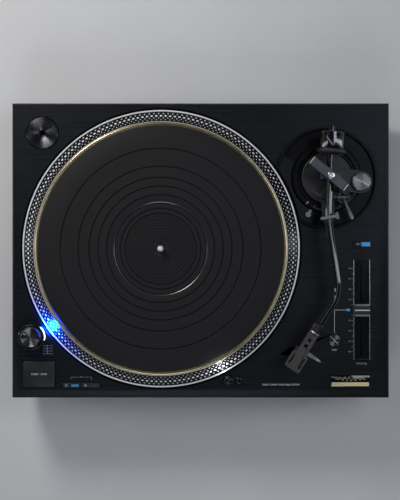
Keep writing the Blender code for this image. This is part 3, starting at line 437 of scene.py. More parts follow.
DARK_METAL = surface(
    "dark grey satin metal", (0.030, 0.031, 0.038), (0.052, 0.053, 0.062), (0.32, 0.44), 0.9, grain=1600.0,
    bump=0.08)
GLOSS_BLACK = surface(
    "gloss black lacquer", (0.003, 0.003, 0.004), (0.006, 0.006, 0.007), (0.07, 0.12), grain=250.0,
    bump=0.02, coat=0.5)
BLACK_NICKEL = surface(
    "black nickel plate", (0.085, 0.085, 0.092), (0.115, 0.115, 0.125), (0.09, 0.13), 1.0, grain=40.0,
    turn=REAR_HEADING, bump=0.01, bump_depth=0.00001)
MOULDED = surface(
    "moulded black plastic", (0.012, 0.012, 0.013), (0.022, 0.022, 0.024), (0.48, 0.66), grain=2600.0,
    bump=0.25, bump_depth=0.00006)
RUBBER = surface(
    "matt black rubber", (0.014, 0.014, 0.015), (0.026, 0.026, 0.027), (0.70, 0.88), grain=1800.0,
    bump=0.30, bump_depth=0.00008, specular=0.35)
MAT_RUBBER = surface(
    "turned mat rubber", (0.0062, 0.0059, 0.0070), (0.0112, 0.0108, 0.0122), (0.55, 0.68), rings=PLATTER.xy,
    ring_density=900.0, bump=0.10, bump_depth=0.00005, specular=0.25)
MAT_STEP = surface(
    "smooth step of the mat", (0.020, 0.020, 0.021), (0.032, 0.032, 0.033), (0.20, 0.28), rings=PLATTER.xy,
    ring_density=900.0, bump=0.03, specular=0.8)
SILVER = surface(
    "satin silver metal", (0.52, 0.53, 0.55), (0.74, 0.75, 0.77), (0.20, 0.32), 1.0, grain=1800.0)
POLISHED = surface(
    "polished aluminium", (0.86, 0.87, 0.89), (0.97, 0.98, 1.00), (0.24, 0.34), 0.25, bump=0.04)
PLATTER_BLACK = surface(
    "black anodised platter", (0.003, 0.003, 0.004), (0.007, 0.007, 0.009), (0.24, 0.32), rings=PLATTER.xy,
    ring_density=2000.0, specular=0.28)
BRASS = disc_finish(
    "turned brass", "brass_plate", (0.72, 0.56, 0.30), (0.96, 0.84, 0.58), (0.26, 0.34), 2600.0, 0.80)
PALE_BRASS = surface(
    "polished brass edge", (0.80, 0.74, 0.60), (0.94, 0.90, 0.80), (0.24, 0.34), 0.5, rings=PLATTER.xy,
    ring_density=2600.0)
GOLD = surface(
    "gold plate", (0.72, 0.54, 0.28), (0.94, 0.80, 0.52), (0.34, 0.44), 0.35, grain=(80.0, 2400.0, 900.0),
    bump=0.08)
BARE_BRASS = surface(
    "machined brass", (0.58, 0.42, 0.18), (0.80, 0.62, 0.30), (0.22, 0.34), 1.0,
    grain=(500.0, 2600.0, 500.0))
COPPER = surface(
    "enamelled copper wire", (0.45, 0.16, 0.06), (0.80, 0.38, 0.18), (0.22, 0.36), 0.9,
    grain=(700.0, 700.0, 3500.0), bump=0.35, bump_depth=0.0001)
BOARD = surface(
    "green solder mask", (0.010, 0.090, 0.035), (0.020, 0.150, 0.060), (0.26, 0.40),
    grain=(350.0, 1200.0, 600.0), bump=0.06)
INK = surface(
    "white print", (0.42, 0.43, 0.45), (0.62, 0.63, 0.65), (0.50, 0.62), grain=2500.0, bump=0.04,
    bump_depth=0.00002)
GREY_INK = surface(
    "grey print", (0.26, 0.27, 0.28), (0.38, 0.39, 0.41), (0.50, 0.62), grain=2500.0, bump=0.04,
    bump_depth=0.00002)
LAMP_OFF = surface(
    "unlit smoked window", (0.030, 0.036, 0.044), (0.055, 0.062, 0.072), (0.18, 0.28), bump=0.03,
    bump_depth=0.00002)
BLUE_LIT = surface(
    "blue lit window", (0.004, 0.02, 0.05), (0.008, 0.04, 0.09), (0.30, 0.40), bump=0.03,
    bump_depth=0.00002, glow=((0.06, 0.42, 0.95), 0.38))
STROBE_LIT = surface(
    "lit strobe lens", (0.55, 0.70, 0.95), (0.75, 0.88, 1.00), (0.12, 0.22), bump=0.03, bump_depth=0.00002,
    glow=((0.30, 0.62, 1.0), 5.0))
LAMP_LIT = surface(
    "lit lamp window", (0.85, 0.86, 0.90), (0.98, 0.98, 1.00), (0.15, 0.25), bump=0.03, bump_depth=0.00002,
    glow=((0.95, 0.97, 1.0), 6.0))


# -------- plinth
def plinth():
    """The deck and the layers under it keep their CAD shapes, with rounded edges."""
    keep_cad("top_panel", BRUSHED, 0.00035)
    keep_cad("cabinet", SATIN_PAINT, 0.0008)
    keep_cad("chassis_layer", MOULDED, 0.0008)
    keep_cad("bottom_base", RUBBER, 0.0010)
    for corner in ("front_left", "front_right", "rear_left", "rear_right"):
        foot(f"foot_{corner}")


def foot(node):
    """A soft foot: a ribbed rubber wall, a flat sole and a narrower neck with its stud."""
    radius, top = half_width(node), high(node).z
    neck_top = low("bottom_base").z - 0.0004
    ribs = [(radius - 0.0004 * (i % 2), 0.0040 + 0.0010 * i) for i in range(17)]
    profile = [(0.0, 0.0), (radius - 0.0042, 0.0), (radius - 0.0016, 0.0010),
               (radius - 0.0004, 0.0026)] + ribs
    profile += [(radius - 0.0014, 0.0214), (0.0250, neck_top - 0.0008), (0.0240, neck_top),
                (0.0040, neck_top), (0.0040, top), (0.0, top)]
    turned(node + "_rubber", profile, RUBBER, node, steps=72)


# -------- platter
SLOPE_TOP = (0.1513, high("platter").z - 0.0002)
SLOPE_FOOT = (0.1636, 0.1090)


def on_slope(radius):
    """The height of the platter's sloped wall at a radius."""
    share = (radius - SLOPE_TOP[0]) / (SLOPE_FOOT[0] - SLOPE_TOP[0])
    return SLOPE_TOP[1] + share * (SLOPE_FOOT[1] - SLOPE_TOP[1])


def platter():
    """The dark platter with its polished lip, polished rim and four rows of polished dots."""
    around = Matrix.Translation(PLATTER)
    edge, top, floor = disc_size("platter")
    seat = low("brass_plate").z - 0.0003
    underside = high("platter_damper").z + 0.0002
    turned("platter_body", [
        (0.0040, seat), (0.1502, seat), (0.1502, top - 0.0012), (0.1509, top - 0.0012), SLOPE_TOP, SLOPE_FOOT,
        (0.1642, 0.1086), (edge - 0.0004, 0.1080), (edge - 0.0004, floor + 0.0004), (0.1600, floor),
        (0.1580, underside), (0.0340, underside), (0.0340, 0.0987), (0.0040, 0.0987)],
        PLATTER_BLACK, "platter", around, 256, closed=True)
    turned("platter_lip", [
        (0.1503, top - 0.0010), (0.1503, top - 0.0002), (0.1504, top), (0.1509, top), (0.1514, top - 0.0006),
        (0.1511, top - 0.0010)], PALE_BRASS, "platter", around, 256, closed=True, replaced=False)
    turned("platter_rim", [
        (0.1643, 0.1084), (0.1643, 0.1090), (0.1646, 0.1094), (0.1658, 0.1094), (edge, 0.1089),
        (edge, 0.1066), (edge - 0.0006, 0.1062), (edge - 0.0006, 0.1084)], POLISHED, "platter", around, 256,
        closed=True, replaced=False)

    dots_per_row = 180
    rows = ((0.1533, 0.00072), (0.1557, 0.00080), (0.1586, 0.00165), (0.1618, 0.00100))
    tilt = math.atan2(SLOPE_TOP[1] - SLOPE_FOOT[1], SLOPE_FOOT[0] - SLOPE_TOP[0])

    def dots(bm):
        for row, (radius, size) in enumerate(rows):
            for i in range(dots_per_row):
                angle = tau * (i + 0.5 * (row % 2)) / dots_per_row
                place = (Matrix.Rotation(angle, 4, "Z") @ Matrix.Translation((radius, 0.0, on_slope(radius)))
                         @ Matrix.Rotation(tilt, 4, "Y"))
                add_dot(bm, size, place)
    piece("platter_dots", dots, POLISHED, "platter", place=around, angle=50)


def add_dot(bm, size, place):
    """A low domed dot, its foot just inside the surface under it."""
    sides, rise = 8, 0.00022
    levels = ((size, -0.0001), (size * 0.86, rise * 0.7), (size * 0.45, rise))
    rings = []
    for radius, height in levels:
        angles = [tau * i / sides for i in range(sides)]
        rings.append([bm.verts.new(place @ Vector((radius * cos(a), radius * sin(a), height)))
                      for a in angles])
    skin(bm, rings)


def platter_top():
    """The brass plate, the ribbed mat and the spindle."""
    around = Matrix.Translation(PLATTER)
    edge, top, floor = disc_size("brass_plate")
    turned("brass_plate_turned", [
        (0.0040, floor), (edge, floor), (edge, top - 0.0003), (edge - 0.0003, top), (edge - 0.0010, top),
        (edge - 0.0018, top - 0.0003), (edge - 0.0028, top - 0.0007), (edge - 0.0034, top - 0.0009),
        (edge - 0.0040, top), (0.0040, top)], BRASS, "brass_plate", around, 256, closed=True, angle=60)

    edge, top, floor = half_width("platter_mat") - 0.0005, high("platter_mat").z, low("platter_mat").z
    wide = (0.0420, 0.0476, 0.0541, 0.0639, 0.0740, 0.0845, 0.0976, 0.1188)
    fine = [0.0115 + 0.0029 * i + 0.00006 * i * i for i in range(9)]
    step_at, step_width, step_drop = 0.0541, 0.0009, 0.0004
    profile = [(0.0040, floor), (edge, floor), (edge, top - 0.0016), (edge - 0.0005, top - 0.0005),
               (edge - 0.0016, top)]
    for radius in sorted([*fine, *wide], reverse=True):
        deep = radius in wide
        half, depth = (0.00055, 0.0012) if deep else (0.00050, 0.0005)
        if radius == step_at:
            profile += [(radius + half + step_width, top), (radius + half, top - step_drop)]
        else:
            profile += [(radius + half + 0.0002, top), (radius + half, top - 0.0002)]
        profile += [(radius + half * 0.4, top - depth), (radius - half * 0.4, top - depth),
                    (radius - half, top - 0.0002), (radius - half - 0.0002, top)]
    profile += [(0.0080, top), (0.0070, top - 0.0004), (0.0040, top - 0.0004)]
    turned("platter_mat_turned", profile, MAT_RUBBER, "platter_mat", around, 256, closed=True, angle=40)
    lift, sink = 0.00003, 0.0003
    outer, inner = step_at + 0.00055 + step_width, step_at + 0.00055
    turned("platter_mat_step", [(inner, top - step_drop + lift), (outer, top + lift), (outer, top - sink),
                                (inner, top - step_drop - sink)], MAT_STEP, "platter_mat", around, 256,
           closed=True, replaced=False)

    radius, top, floor = 0.00355, high("spindle").z, low("spindle").z
    shoulder = 0.0982
    turned("spindle_turned", [
        (0.0, top - 0.0012), (0.0009, top - 0.0010), (0.0010, top - 0.0001), (0.0015, top),
        (0.0024, top - 0.0006), (0.0032, top - 0.0020), (radius, top - 0.0042), (radius, shoulder),
        (0.0050, shoulder), (0.0050, floor), (0.0, floor)], POLISHED, "spindle", around, 48)
    keep_cad("platter_damper", RUBBER, 0.0)


# -------- controls
def adaptor():
    """The single-record adaptor: a wide shallow cone with a stepped spindle hole."""
    node = "adaptor_45"
    finish = disc_finish("turned dark adaptor", node, (0.060, 0.060, 0.072), (0.095, 0.095, 0.11),
                         (0.24, 0.30), 2500.0, 0.95)
    edge, floor = half_width(node), low(node).z
    turned("adaptor_turned", [
        (0.0037, floor), (edge, floor), (edge, DECK_TOP + 0.0008), (edge - 0.0003, DECK_TOP + 0.0014),
        (edge - 0.0009, DECK_TOP + 0.0018), (edge - 0.0013, DECK_TOP + 0.0018), (0.0062, DECK_TOP + 0.0020),
        (0.0056, DECK_TOP + 0.0017), (0.0048, DECK_TOP + 0.0010), (0.0037, DECK_TOP + 0.0010)],
        finish, node, steps=128, closed=True)


def strobe():
    """The strobe tower with its lit window, and the knurled power knob on top."""
    keep_cad("strobe_housing", GLOSS_BLACK, 0.00025)
    keep_cad("strobe_lens", STROBE_LIT, 0.0)
    node = "power_knob"
    finish = disc_finish("turned dark knob", node, (0.10, 0.10, 0.11), (0.16, 0.16, 0.175), (0.26, 0.34),
                         2500.0, 0.95)
    edge, top, floor = 0.0124, high(node).z, low(node).z
    skirt = high("strobe_housing").z + 0.0003
    rise = top - skirt
    turned("power_knob_turned", [
        (0.0, floor), (0.0040, floor), (0.0040, skirt), (edge, skirt), (edge, skirt + rise * 0.1),
        (edge, skirt + rise * 0.55), (edge - 0.0004, skirt + rise * 0.66), (0.0111, top - 0.0001),
        (0.0106, top), (0.0098, top - 0.0004), (0.0, top - 0.0004)], finish, node, steps=144,
        ripple=knurl(edge, 0.0004, 36, skirt + rise * 0.05, skirt + rise * 0.6))
    marks("power_knob_mark", [rectangle(-0.0004, 0.0004, 0.0066, 0.0092)], top - 0.0004, INK, node,
          place=over(node, 60.0))

    legend_x, legend_y, pitch = -0.1885, -0.1138, 0.0024
    rows = [rounded_rectangle(legend_x + pitch * i, legend_x + pitch * i + 0.0009,
                              legend_y - 0.0032 * row - 0.0009, legend_y - 0.0032 * row, 0.0003, 2)
            for row in range(4) for i in range(5)]
    rows += [rectangle(legend_x + pitch * 1.8, legend_x + pitch * 1.8 + 0.0004, legend_y - 0.0100, legend_y)]
    marks("strobe_legend", rows, DECK_TOP, INK, "top_panel")


def lit_window(name, centre, size, top, material, node):
    """A small rounded window set into a button or the deck."""
    w, d = size[0] / 2, size[1] / 2
    outline = rounded_rectangle(centre[0] - w, centre[0] + w, centre[1] - d, centre[1] + d, min(w, d) * 0.5)
    piece(name, lambda bm: add_prism(bm, outline, top - 0.0004, top + 0.0001), material, node,
          slot="blue_lamp")


def buttons():
    """The start button and the two speed buttons with their print."""
    for node in ("start_stop_button", "speed_33_button", "speed_45_button"):
        keep_cad(node, BUTTON_FACE, 0.00025)
    node = "start_stop_button"
    spot = middle(node)
    lettering("start_stop_label", "START · STOP", 0.0031, at(spot.x, spot.y, high(node).z + PRINT_LIFT),
              INK, node)
    for node, words, lamp in (("speed_33_button", "33", BLUE_LIT), ("speed_45_button", "45", LAMP_OFF)):
        left, right, top = low(node).x, high(node).x, high(node).z
        y = middle(node).y
        lettering(node + "_label", words, 0.0032, at(left + 0.0048, y, top + PRINT_LIFT), INK, node)
        lit_window(node + "_lamp", (right - 0.0072, y), (0.0086, 0.0022), top, lamp, node)

    y = high("speed_33_button").y + 0.0070
    left, right = middle("speed_33_button").x - 0.0010, middle("speed_45_button").x + 0.0010
    centre, width = (left + right) / 2, 0.0003
    lines = [rectangle(left, centre - 0.0020, y - width, y), rectangle(centre + 0.0020, right, y - width, y),
             rectangle(left, left + width, y - 0.0028, y - width),
             rectangle(right - width, right, y - 0.0028, y - width)]
    marks("speed_bracket", lines, DECK_TOP, GREY_INK, "top_panel")
    lettering("speed_bracket_label", "78", 0.0022, at(centre, y, DECK_PRINT), GREY_INK, "top_panel")


def target_lamp():
    """The pop-up lamp with its lit window, and the ringed button beside it."""
    node = "target_lamp"
    keep_cad(node, GLOSS_BLACK, 0.0002)
    top = high(node).z
    toward = facing_platter(middle(node))
    turn = math.degrees(math.atan2(toward.y, toward.x))
    glass = rectangle(0.00305, 0.0036, -0.0024, 0.0024)
    piece("target_lamp_window", lambda bm: add_prism(bm, glass, DECK_TOP + 0.0048, top - 0.0023), LAMP_LIT,
          node, place=over(node, turn), slot="clear_lens")
    cap = disc_finish("turned lamp cap", node, (0.05, 0.05, 0.055), (0.09, 0.09, 0.095), (0.20, 0.30))
    turned("target_lamp_cap", [(0.0, top), (0.0046, top), (0.0046, top + 0.0002), (0.0040, top + 0.0006),
                               (0.0, top + 0.0006)], cap, node, steps=48, replaced=False)
    node = "target_lamp_button"
    keep_cad(node, GLOSS_BLACK, 0.00015)
    top = high(node).z
    ring = disc_finish("turned button ring", node, (0.12, 0.12, 0.13), (0.20, 0.20, 0.21), (0.20, 0.30))
    turned("target_lamp_button_ring", [(0.0024, top), (0.0030, top), (0.0030, top + 0.0003),
                                       (0.0024, top + 0.0003)],
           ring, node, steps=48, closed=True, replaced=False)


def pitch_control():
    """The pitch slider with its slot plate, painted highlights along the slot's long edges, scale, ribbed knob,
    reset button and range switch.
    """
    node = "pitch_slot_plate"
    keep_cad(node, GLOSS_BLACK, 0.00015)
    keep_cad("pitch_potentiometer", MOULDED, 0.0)
    left, right = low(node).x, high(node).x
    near, far, top = low(node).y, high(node).y, high(node).z
    # Painted highlights: two thin silver lines stand for light caught along the slot plate's long edges.
    slot_edge_highlights = [rectangle(left + 0.0002, left + 0.0007, near + 0.001, far - 0.001),
                   rectangle(right - 0.0007, right - 0.0002, near + 0.001, far - 0.001)]
    marks("pitch_slot_edge_highlights", slot_edge_highlights, top, SILVER, "top_panel", thickness=0.0001)

    centre_y = middle("pitch_fader_knob").y
    reach = JOINTS["pitch_slide"]["range_m"][1]
    divisions = 8
    ticks = []
    for i in range(-divisions, divisions + 1):
        if i == 0:
            continue
        y = centre_y + reach * i / divisions
        length = 0.0024 if i % 2 == 0 else 0.0013
        ticks.append(rectangle(left - 0.0006 - length, left - 0.0006, y - 0.00018, y + 0.00018))
        if i % 2 == 0:
            lettering(f"pitch_number_{i + divisions}", str(abs(i)), 0.0026, at(left - 0.0048, y, DECK_PRINT),
                      INK, "top_panel")
    reset = middle("reset_button")
    led = middle("pitch_centre_led")
    line = 0.00025
    ticks.append(rectangle(reset.x - line, low("pitch_centre_led").x - 0.0008, led.y - line, led.y + line))
    ticks.append(rectangle(reset.x - line, reset.x + line, high("reset_button").y + 0.0015, led.y - line))
    marks("pitch_scale", ticks, DECK_TOP, INK, "top_panel")
    lettering("reset_label", "RESET", 0.0024, at(reset.x, low("reset_button").y - 0.0042, DECK_PRINT), INK,
              "top_panel")
    lettering("pitch_label", "PITCH ADJ.", 0.0026, at((left + right) / 2, near - 0.0036, DECK_PRINT),
              GREY_INK, "top_panel")
    keep_cad("pitch_centre_led", BLUE_LIT, 0.0001)
    keep_cad("pitch_range_led", BLUE_LIT, 0.0001)
    keep_cad("pitch_range_button", DARK_METAL, 0.0002)
    node = "pitch_range_button"
    spot = middle(node)
    lettering("pitch_range_label", "×2", 0.0030, at(spot.x, spot.y, high(node).z + PRINT_LIFT), INK, node)
    fader_knob()
    reset_button()


def fader_knob():
    """A black slider knob with three bright ribs across it."""
    node = "pitch_fader_knob"
    top = high(node).z
    half_x, half_y = half_width(node), (high(node).y - low(node).y) / 2
    base = DECK_TOP + 0.0010

    def body(bm):
        add_prism(bm, rounded_rectangle(-half_x, half_x, -half_y, half_y, 0.0010), base, top - 0.0026)
    piece("fader_knob_body", body, MOULDED, node, (node,), over(node), bevel=0.0004)
    stem = rectangle(-0.0008, 0.0008, -0.0030, 0.0030)
    piece("fader_knob_stem", lambda bm: add_prism(bm, stem, low(node).z, base), MOULDED, node,
          place=over(node))
    for i, (offset, half, metal) in enumerate(((-0.0062, 0.0010, RIB_METAL), (0.0, 0.0006, POLISHED),
                                               (0.0062, 0.0010, RIB_METAL))):
        rib = rectangle(-half_x + 0.0002, half_x - 0.0002, offset - half, offset + half)
        piece(f"fader_knob_rib_{i + 1}", lambda bm, rib=rib: add_prism(bm, rib, top - 0.0027, top), metal,
              node, place=over(node), bevel=0.0003)


def reset_button():
    """A turned button with one bright line across it, a painted highlight."""
    node = "reset_button"
    finish = disc_finish("turned reset button", node, (0.09, 0.09, 0.095), (0.14, 0.14, 0.15), (0.26, 0.34),
                         2500.0, 0.95)
    edge, top, floor = disc_size(node)
    turned("reset_button_turned", [
        (0.0, floor), (edge, floor), (edge, top - 0.0008), (edge - 0.0003, top - 0.0002),
        (edge - 0.0010, top), (edge - 0.0014, top - 0.0004), (0.0, top - 0.0005)], finish, node, steps=72)
    # Painted highlight: a white line at -45 degrees across the top stands for a streak of light on the turned
    # face.
    marks("reset_button_highlight_line", [rectangle(-0.0048, 0.0048, -0.0003, 0.0003)], top - 0.00045, INK, node,
          place=over(node, -45.0))


def deck_print():
    """The two-tone plate with a plain wave instead of words, and one generic line of print."""
    node = "edition_plate"
    keep_cad(node, GLOSS_BLACK, 0.0001)
    left, right = low(node).x, high(node).x
    near, far, top = low(node).y, high(node).y, high(node).z
    bar_far = near + 0.0052
    bar = rectangle(left + 0.0008, right - 0.0008, near + 0.0006, bar_far)
    marks("plate_gold_bar", [bar], top, GOLD, node, thickness=0.0001)
    steps, waves, height = 120, 7, 0.0024
    middle_y, stroke = (bar_far + far) / 2, 0.00028
    xs = [left + 0.0050 + (right - left - 0.0100) * i / steps for i in range(steps + 1)]
    crest = [middle_y + height * sin(tau * waves * i / steps) * sin(math.pi * i / steps)
             for i in range(steps + 1)]
    upper = [(x, y + stroke) for x, y in zip(xs, crest)]
    lower = [(x, y - stroke) for x, y in reversed(list(zip(xs, crest)))]
    marks("plate_gold_wave", [upper + lower], top, GOLD, node, thickness=0.0001)
    lettering("deck_line", "DIRECT DRIVE TURNTABLE SYSTEM", 0.0028, at(0.0965, -0.1612, DECK_PRINT),
              INK, "top_panel")


# -------- tonearm base
def arm_base():
    """The base ring, the graduated height dial, and the platform with what stands on it."""
    # The base ring's very dark enamel is partly painted shade, standing for the shade in its deep trough.
    keep_cad("arm_base_ring", BLACK_ENAMEL_AND_SHADE, 0.0003)
    keep_cad("arm_platform", SATIN_PAINT, 0.0003)
    keep_cad("height_lock_lever", DULL_STEEL, 0.0003)
    keep_cad("cue_lever", DULL_STEEL, 0.0002)
    keep_cad("cue_lift", DARK_METAL, 0.0003)
    keep_cad("arm_rest", MOULDED, 0.0002)
    keep_cad("arm_clip", DULL_STEEL, 0.0002)
    sector_cap()
    node = "height_dial"
    edge, top, floor = disc_size(node)
    pivot = Matrix.Translation((ARM_PIVOT.x, ARM_PIVOT.y, 0.0))
    turned("height_dial_turned", [
        (0.0312, floor), (edge, floor), (edge, floor + 0.0010), (edge, top - 0.0022),
        (edge - 0.0005, top - 0.0016), (edge - 0.0018, top), (0.0352, top), (0.0346, top - 0.0009),
        (0.0340, top - 0.0013), (0.0318, top - 0.0013), (0.0312, top - 0.0018)], BLACK_ENAMEL_AND_SHADE, node, pivot,
        180, closed=True, ripple=knurl(edge, 0.0003, 90, floor + 0.0005, top - 0.0021))
    ticks, first, spacing, numbered = 36, 246.0, 4.0, 6
    scale = [rectangle(0.0390 - (0.0016 if i % numbered == 0 else 0.0009), 0.0394, -0.00010, 0.00010)
             for i in range(ticks)]

    def graduations(bm):
        for i, outline in enumerate(scale):
            turn = Matrix.Rotation(radians(first + spacing * i), 2)
            add_prism(bm, [turn @ Vector(p) for p in outline], top, top + 0.00005)
    piece("height_dial_scale", graduations, GREY_INK, node, place=pivot)
    for i in range(ticks // numbered):
        angle = first + spacing * numbered * i
        spot = ARM_PIVOT + heading(angle) * 0.0366
        lettering(f"height_number_{i}", str(i), 0.0017, at(spot.x, spot.y, top + PRINT_LIFT, angle - 90.0),
                  GREY_INK, node)
    marks("height_index", [rectangle(0.0356, 0.0396, -0.0004, 0.0004)], top, INK, node,
          place=at(ARM_PIVOT.x, ARM_PIVOT.y, 0.0, 231.8))
    anti_skate()


def sector_cap():
    """The brushed top of the base's raised sector, trimmed where the platter passes."""
    inner, outer, start, end, clear = 0.0427, 0.0572, 153.0, 251.0, 0.1696
    outline = []
    for x, y in arc(outer, start, end, 40) + arc(inner, end, start, 40):
        point = Vector((ARM_PIVOT.x + x, ARM_PIVOT.y + y, 0.0))
        away = point - PLATTER
        if away.length < clear:
            point = PLATTER + away.normalized() * clear
        outline.append(point.xy)
    top = 0.1126

    def build(bm):
        add_prism(bm, outline, top, top + 0.00025)
    piece("arm_base_sector", build, BRUSHED, "arm_base_ring")


def anti_skate():
    """The knurled dial with its line, and the ticks around it on the platform."""
    node = "anti_skate_dial"
    finish = disc_finish("turned silver dial", node, (0.12, 0.125, 0.13), (0.22, 0.225, 0.23), (0.28, 0.38),
                         2200.0, 0.95)
    edge, top, floor = disc_size(node)
    turned("anti_skate_turned", [
        (0.0, floor), (edge - 0.0006, floor), (edge - 0.0006, floor + 0.0008), (edge, floor + 0.0012),
        (edge, top - 0.0012), (edge - 0.0004, top - 0.0003), (edge - 0.0012, top),
        (edge - 0.0016, top - 0.0003), (0.0, top - 0.0003)], finish, node, steps=160,
        ripple=knurl(edge, 0.0003, 40, floor + 0.0010, top - 0.0011))
    marks("anti_skate_mark", [rectangle(-0.0094, 0.0094, -0.0004, 0.0004)], top - 0.00025, INK, node,
          place=over(node, -27.0))
    plate_top = floor - 0.0003

    def scale(bm):
        for i in range(8):
            turn = Matrix.Rotation(radians(-115.0 + 20.0 * i), 2)
            tick = rectangle(0.0122, 0.0132, -0.00010, 0.00010)
            add_prism(bm, [turn @ Vector(p) for p in tick], plate_top, plate_top + 0.00005)
    piece("anti_skate_scale", scale, GREY_INK, "arm_platform", place=over(node))


# -------- tonearm
def lying(distance):
    """Turns a profile drawn about Z so that it lies along the arm, at a distance behind the pivot."""
    turn = Matrix.Rotation(radians(REAR_HEADING), 4, "Z") @ Matrix.Rotation(radians(90), 4, "Y")
    return Matrix.Translation(ARM_PIVOT + heading(REAR_HEADING) * distance) @ turn


def arm_path():
    """The tube's centre line, from its rear end to just short of the headshell."""
    rear_length, splits = 0.0580, 3
    bend = 11.0
    runs = ((rear_length + 0.0300, 0.0, 12), (0.0320, bend, 10), (0.0606, 0.0, 6),
            (0.0300, SHELL_HEADING - STRAIGHT_HEADING - bend, 14), (0.0335, 0.0, 4))
    point = ARM_PIVOT + heading(REAR_HEADING) * rear_length
    facing = STRAIGHT_HEADING
    path = [(point.copy(), facing)]
    for length, turn, steps in runs:
        steps *= splits
        for i in range(steps):
            middle_heading = facing + turn * (i + 0.5) / steps
            point = point + heading(middle_heading) * (length / steps)
            path.append((point.copy(), facing + turn * (i + 1) / steps))
        facing += turn
    return path


def arm_tube():
    """The S-shaped gloss tube, swept as one closed skin."""
    sides = 32
    path = arm_path()

    def build(bm):
        rings = []
        for point, facing in path:
            across = heading(facing + 90.0)
            ring = []
            for i in range(sides):
                a = tau * i / sides
                offset = across * (TUBE_RADIUS * cos(a)) + Vector((0.0, 0.0, TUBE_RADIUS * sin(a)))
                ring.append(bm.verts.new(point + offset))
            rings.append(ring)
        skin(bm, rings)
    piece("arm_tube_swept", build, GLOSS_BLACK, "arm_tube", ("arm_tube",))


def behind_arm():
    """The counterweight with its grooves and band, and the knurled force dial in front of it."""
    bore = TUBE_RADIUS + 0.0003
    start, length = 0.0316, 0.0198
    groove_at = 0.0150
    turned("counterweight_turned", [
        (bore, 0.0), (0.0142, 0.0), (0.0148, 0.0003), (0.0150, 0.0009), (0.0150, groove_at),
        (0.0146, groove_at + 0.0003), (0.0146, groove_at + 0.0011), (0.0150, groove_at + 0.0014),
        (0.0150, length - 0.0010), (0.0146, length - 0.0004), (0.0138, length), (0.0110, length),
        (0.0106, length - 0.0006), (0.0070, length - 0.0006), (0.0066, length), (bore, length)], BLACK_NICKEL,
        "counterweight", lying(start), 128, closed=True)
    start, length, edge = 0.0253, 0.0060, 0.0168
    turned("weight_dial_turned", [
        (bore, 0.0), (0.0136, 0.0), (0.0142, 0.0002), (edge - 0.0004, 0.0017), (edge, 0.0022), (edge, 0.0052),
        (edge - 0.0005, 0.0058), (0.0158, length), (bore, length)], SATIN_PAINT, "weight_dial", lying(start),
        180, closed=True, ripple=knurl(edge, 0.0004, 60, 0.0020, 0.0054))

    def force_scale(bm):
        for i in range(30):
            turn = Matrix.Rotation(radians(12.0 * i), 2)
            inner = 0.0112 if i % 5 == 0 else 0.0120
            add_prism(bm, [turn @ Vector(p) for p in rectangle(inner, 0.0130, -0.00012, 0.00012)], -0.00006,
                      0.0)
    piece("weight_dial_scale", force_scale, INK, "weight_dial", place=lying(start))


def gimbal():
    """The bridge, the swinging frame and the pivot screw with its socket."""
    keep_cad("gimbal_bridge", BRIDGE_METAL, 0.0006)
    keep_cad("gimbal_ring", DARK_METAL, 0.0003)
    bridge_ends()
    node = "pivot_screw"
    top, floor = high(node).z, low(node).z
    seat = high("gimbal_bridge").z + 0.0003
    turned("pivot_screw_turned", [
        (0.0, top - 0.0018), (0.0015, top - 0.0018), (0.0015, top - 0.0002), (0.0018, top), (0.0034, top),
        (0.0040, top - 0.0003), (0.0042, top - 0.0008), (0.0042, seat), (0.0020, seat),
        (0.0020, floor + 0.0008), (0.0, floor)], SILVER, node, steps=48)


def bridge_ends():
    """Painted highlights: bright polished strips across the two ends of the bridge, where its bevelled ends catch
    the light.
    """
    node = "gimbal_bridge"
    turn = radians(BRIDGE_HEADING)
    size = high(node) - low(node)
    c, k = abs(cos(turn)), abs(sin(turn))
    spread = c * c - k * k
    half_long, half_deep = (size.x * c - size.y * k) / spread / 2, (size.y * c - size.x * k) / spread / 2
    top = high(node).z
    place = over(node, math.degrees(turn))
    # Painted highlights: the polished strips stand for light caught by the bridge's bevelled ends.
    strips = [rectangle(side * (half_long - 0.0007) - 0.0003, side * (half_long - 0.0007) + 0.0003,
                        -half_deep + 0.0009, half_deep - 0.0009) for side in (-1, 1)]
    marks("bridge_end_painted_highlights", strips, top - 0.00012, POLISHED, node, 0.00012, place)


def headshell():
    """The shell with its finger lift and cartridge, and the knurled collar with its bright ring."""
    keep_cad("headshell", SHELL_METAL, 0.00045)
    finger_lift()
    keep_cad("cartridge", MOULDED, 0.0003)
    node = "lock_collar"
    seat = Vector(JOINTS["collar_turn"]["pos_m"])
    turn = Matrix.Rotation(radians(SHELL_HEADING), 4, "Z") @ Matrix.Rotation(radians(90), 4, "Y")
    length, bore, edge = 0.0130, TUBE_RADIUS + 0.0003, 0.0066
    place = Matrix.Translation(seat - heading(SHELL_HEADING) * length) @ turn
    turned("lock_collar_turned", [
        (bore, 0.0), (0.0054, 0.0), (0.0058, 0.0003), (edge - 0.0002, 0.0014), (edge, 0.0018), (edge, 0.0094),
        (edge - 0.0004, 0.0098), (edge - 0.0004, 0.0104), (bore, 0.0104)], DARK_METAL, node, place, 120,
        closed=True, ripple=knurl(edge, 0.0004, 30, 0.0016, 0.0095))
    turned("lock_collar_ring", [
        (bore, 0.0106), (edge - 0.0004, 0.0106), (edge, 0.0109), (edge, 0.0122),
        (edge - 0.0005, length - 0.0003), (bore, length - 0.0003)], SILVER, node, place, 96, closed=True,
        replaced=False)


